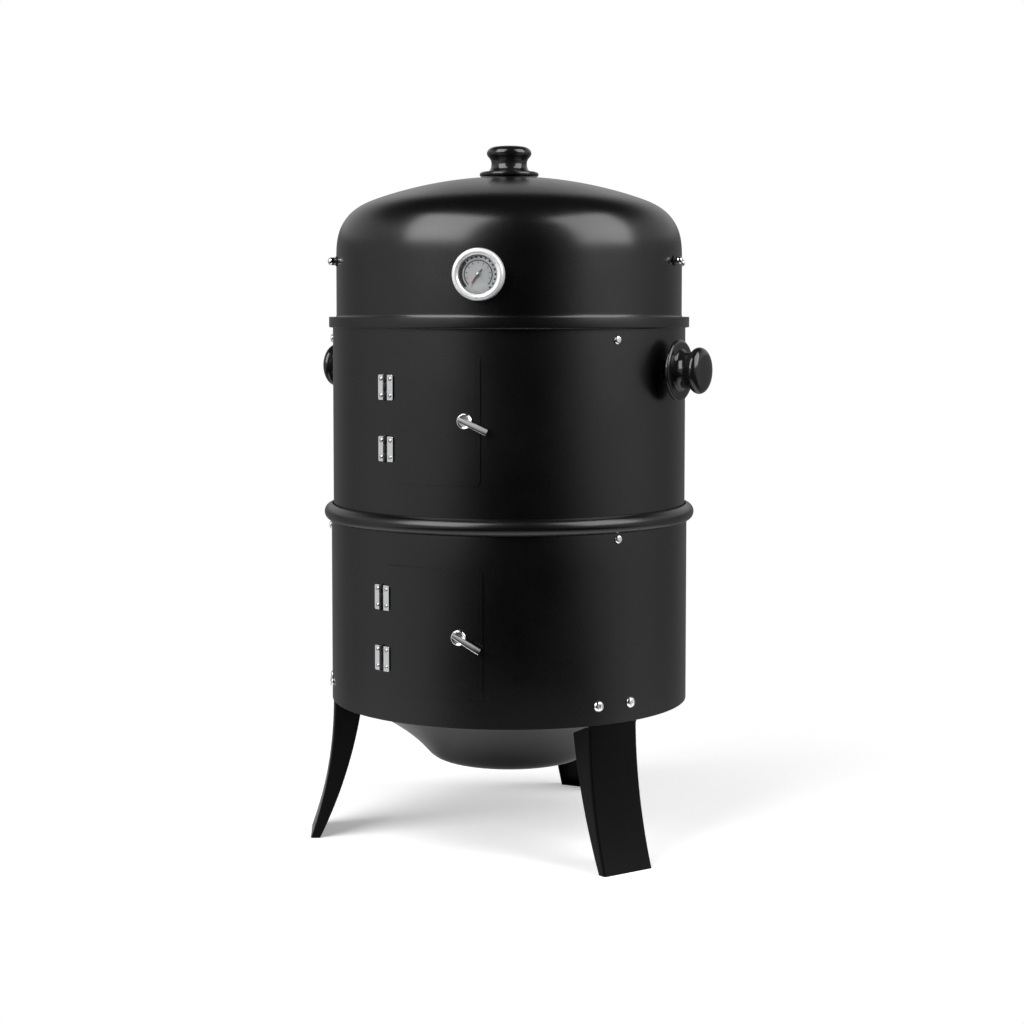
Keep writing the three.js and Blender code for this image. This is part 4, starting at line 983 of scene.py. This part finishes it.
def make_grate(node, piece, slot, pitch, material):
    """A wire grate: a ring, parallel bars, and two stiffening bars below; its body has its node's name."""
    low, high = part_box(node)
    radius = high.x
    middle = (low.z + high.z) / 2
    ring_wire, bar, stiffener = 2.2 * MM, 1.7 * MM, 0.9 * MM

    def add_rod(reach, wire, rounding, steps, place):
        rod = rounded([(0, -reach, 0), (wire, -reach), (wire, reach), (0, reach, 0)], rounding)
        add_turned(bm, rod, steps, place)

    bm = bmesh.new()
    centre = radius - ring_wire
    add_turned(bm, arc((centre, middle), ring_wire, 0, 330, 11), 128)
    count = int((centre - pitch * 0.4) / pitch)
    for i in range(-count, count + 1):
        x = i * pitch
        reach = math.sqrt(centre ** 2 - x * x) - ring_wire * 0.6
        across = Matrix.Translation((x, 0, high.z - bar)) @ Matrix.Rotation(math.radians(90), 4, "X")
        add_rod(reach, bar, 0.8 * MM, 12, across)
    for y in (-radius * 0.42, radius * 0.42):
        reach = math.sqrt(centre ** 2 - y * y) - ring_wire * 0.6
        along = Matrix.Translation((0, y, low.z + stiffener)) @ Matrix.Rotation(math.radians(90), 4, "Y")
        add_rod(reach, stiffener, 0.4 * MM, 10, along)
    keep(finish_mesh(piece, bm, material), node, slot, node)


# ---------------------------------------------------------------- CAD nodes that stay

STAYING = (
    "lid_knob_screw", "thermometer_nut", "rail_bracket_1", "rail_bracket_2", "hanging_rod",
    "side_knob_bolt_1", "side_knob_bolt_2", "upper_latch_cam", "lower_latch_cam",
)


def dress_frame():
    for node in STAYING:
        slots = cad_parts[node].data.materials
        slots.clear()
        slots.append(STEEL)


# ---------------------------------------------------------------- studio


def make_floor():
    """A pale square on the ground whose edge fades out by its alpha."""
    mesh = bpy.data.meshes.new("floor")
    size = FLOOR_FADE[1]
    mesh.from_pydata([(x, y, 0) for x, y in rectangle(-size, -size, size, size)], [], [(0, 1, 2, 3)])
    floor = bpy.data.objects.new("floor", mesh)
    bpy.context.scene.collection.objects.link(floor)
    m = Nodes("pale_floor")
    place = m.coordinates()
    grain = m.noise(place, 3, 2)
    m.colour(grain, [(0.3, (0.90, 0.90, 0.90)), (0.7, (0.93, 0.93, 0.93))])
    m.base(Roughness=0.9, Specular_IOR_Level=0.1, Emission_Color=(1, 1, 1, 1), Emission_Strength=FLOOR_GLOW)
    away = m.add("ShaderNodeVectorMath", operation="LENGTH")
    m.link(place, away.inputs[0])
    m.link(m.spread(away.outputs["Value"], 1, 0, FLOOR_FADE), m.shader.inputs["Alpha"])
    mesh.materials.append(m.material)


def make_world():
    """A white cyclorama with a dim gap towards the front, as a studio with side softboxes has."""
    world = bpy.data.worlds.new("studio")
    bpy.context.scene.world = world
    world.use_nodes = True
    tree = world.node_tree
    tree.nodes.clear()

    def node(kind, **settings):
        made = tree.nodes.new(kind)
        for key, value in settings.items():
            setattr(made, key, value)
        return made

    def math_node(operation, first, second=None):
        made = node("ShaderNodeMath", operation=operation)
        for socket, value in zip(made.inputs, (first, second)):
            if value is None:
                continue
            if isinstance(value, (int, float)):
                socket.default_value = value
            else:
                tree.links.new(value, socket)
        return made.outputs[0]

    def ramp(value, low, high, to_low, to_high):
        made = node("ShaderNodeMapRange", interpolation_type="SMOOTHSTEP")
        tree.links.new(value, made.inputs["Value"])
        for key, number in zip(("From Min", "From Max", "To Min", "To Max"), (low, high, to_low, to_high)):
            made.inputs[key].default_value = number
        return made.outputs["Result"]

    split = node("ShaderNodeSeparateXYZ")
    tree.links.new(node("ShaderNodeTexCoord").outputs["Generated"], split.inputs[0])
    x, y, z = split.outputs
    across = math_node("ARCTAN2", x, math_node("MULTIPLY", y, -1.0))  # azimuth from the front, right positive
    widen = math_node("MULTIPLY", math_node("MINIMUM", z, 0.0), -1.9)  # the gap is wider below the horizon
    left_side = math_node("ADD", across, widen)
    right_side = math_node("SUBTRACT", across, widen)
    left = ramp(left_side, math.radians(-38), math.radians(-6), LEFT_WALL, GAP_GLOW)
    right = ramp(right_side, math.radians(14), math.radians(62), GAP_GLOW, RIGHT_WALL)
    walls = math_node("MAXIMUM", left, right)
    sideways = ramp(math_node("ABSOLUTE", across), math.radians(80), math.radians(130), 1.0, SIDE_SHARE)
    above = ramp(z, 0.05, 0.2, 0.0, 1.0)
    behind = math_node("MAXIMUM", sideways, above)
    overhead = ramp(z, 0.42, 0.70, 1.0, CEILING)
    glow = math_node("MULTIPLY", math_node("MULTIPLY", walls, behind), overhead)
    seen = node("ShaderNodeLightPath").outputs["Is Camera Ray"]
    mix = node("ShaderNodeMix", data_type="FLOAT")
    tree.links.new(seen, mix.inputs[0])
    tree.links.new(glow, mix.inputs[2])
    mix.inputs[3].default_value = 1.0  # the camera itself sees plain white
    background = node("ShaderNodeBackground")
    background.inputs["Color"].default_value = (1, 1, 1, 1)
    tree.links.new(mix.outputs[0], background.inputs["Strength"])
    output = node("ShaderNodeOutputWorld")
    tree.links.new(background.outputs[0], output.inputs[0])


def make_softbox(name, place, power):
    light = bpy.data.lights.new(name, "AREA")
    light.shape = "RECTANGLE"
    light.size, light.size_y = SOFTBOX_SIZE
    light.energy = power
    lamp = bpy.data.objects.new(name, light)
    lamp.location = place
    lamp.rotation_euler = (Vector(SOFTBOX_TARGET) - Vector(place)).to_track_quat("-Z", "Y").to_euler()
    lamp.visible_camera = False
    bpy.context.scene.collection.objects.link(lamp)


def make_camera():
    camera = bpy.data.cameras.new("camera")
    camera.sensor_width = 36
    camera.lens = 70.39
    camera.shift_x = 0.0028
    camera.shift_y = -0.0758
    camera.clip_end = 200
    obj = bpy.data.objects.new("camera", camera)
    obj.location = (0, -2.3265, 0.6061)
    obj.rotation_euler = (math.radians(90 - 3.5), 0, 0)  # level, then pitched down a little
    bpy.context.scene.collection.objects.link(obj)
    bpy.context.scene.camera = obj


make_camera()
make_lid()
make_thermometer()
make_upper_ring()
make_lower_ring()
for name, place in DOORS.items():
    make_door(name, place["wall"])
    make_hinge(name, "top", place["wall"])
    make_hinge(name, "bottom", place["wall"])
    make_latch(name, place["wall"], place["latch"], place["droop"])
make_legs()
make_fasteners()
make_bowls()
make_grate("upper_grate", "upper_wire_grate", "plain_steel", 14 * MM, WIRE)
make_grate("lower_grate", "lower_wire_grate", "plain_steel", 14 * MM, WIRE)
make_grate("charcoal_grate", "charcoal_wire_grate", "cast_grate", 18 * MM, IRON)
dress_frame()

make_floor()
make_world()
make_softbox("left_softbox", (-1.78, -1.60, 2.35), 116)
make_softbox("right_softbox", (2.3, -1.05, 2.25), 94)
bpy.context.scene.view_settings.view_transform = "Standard"
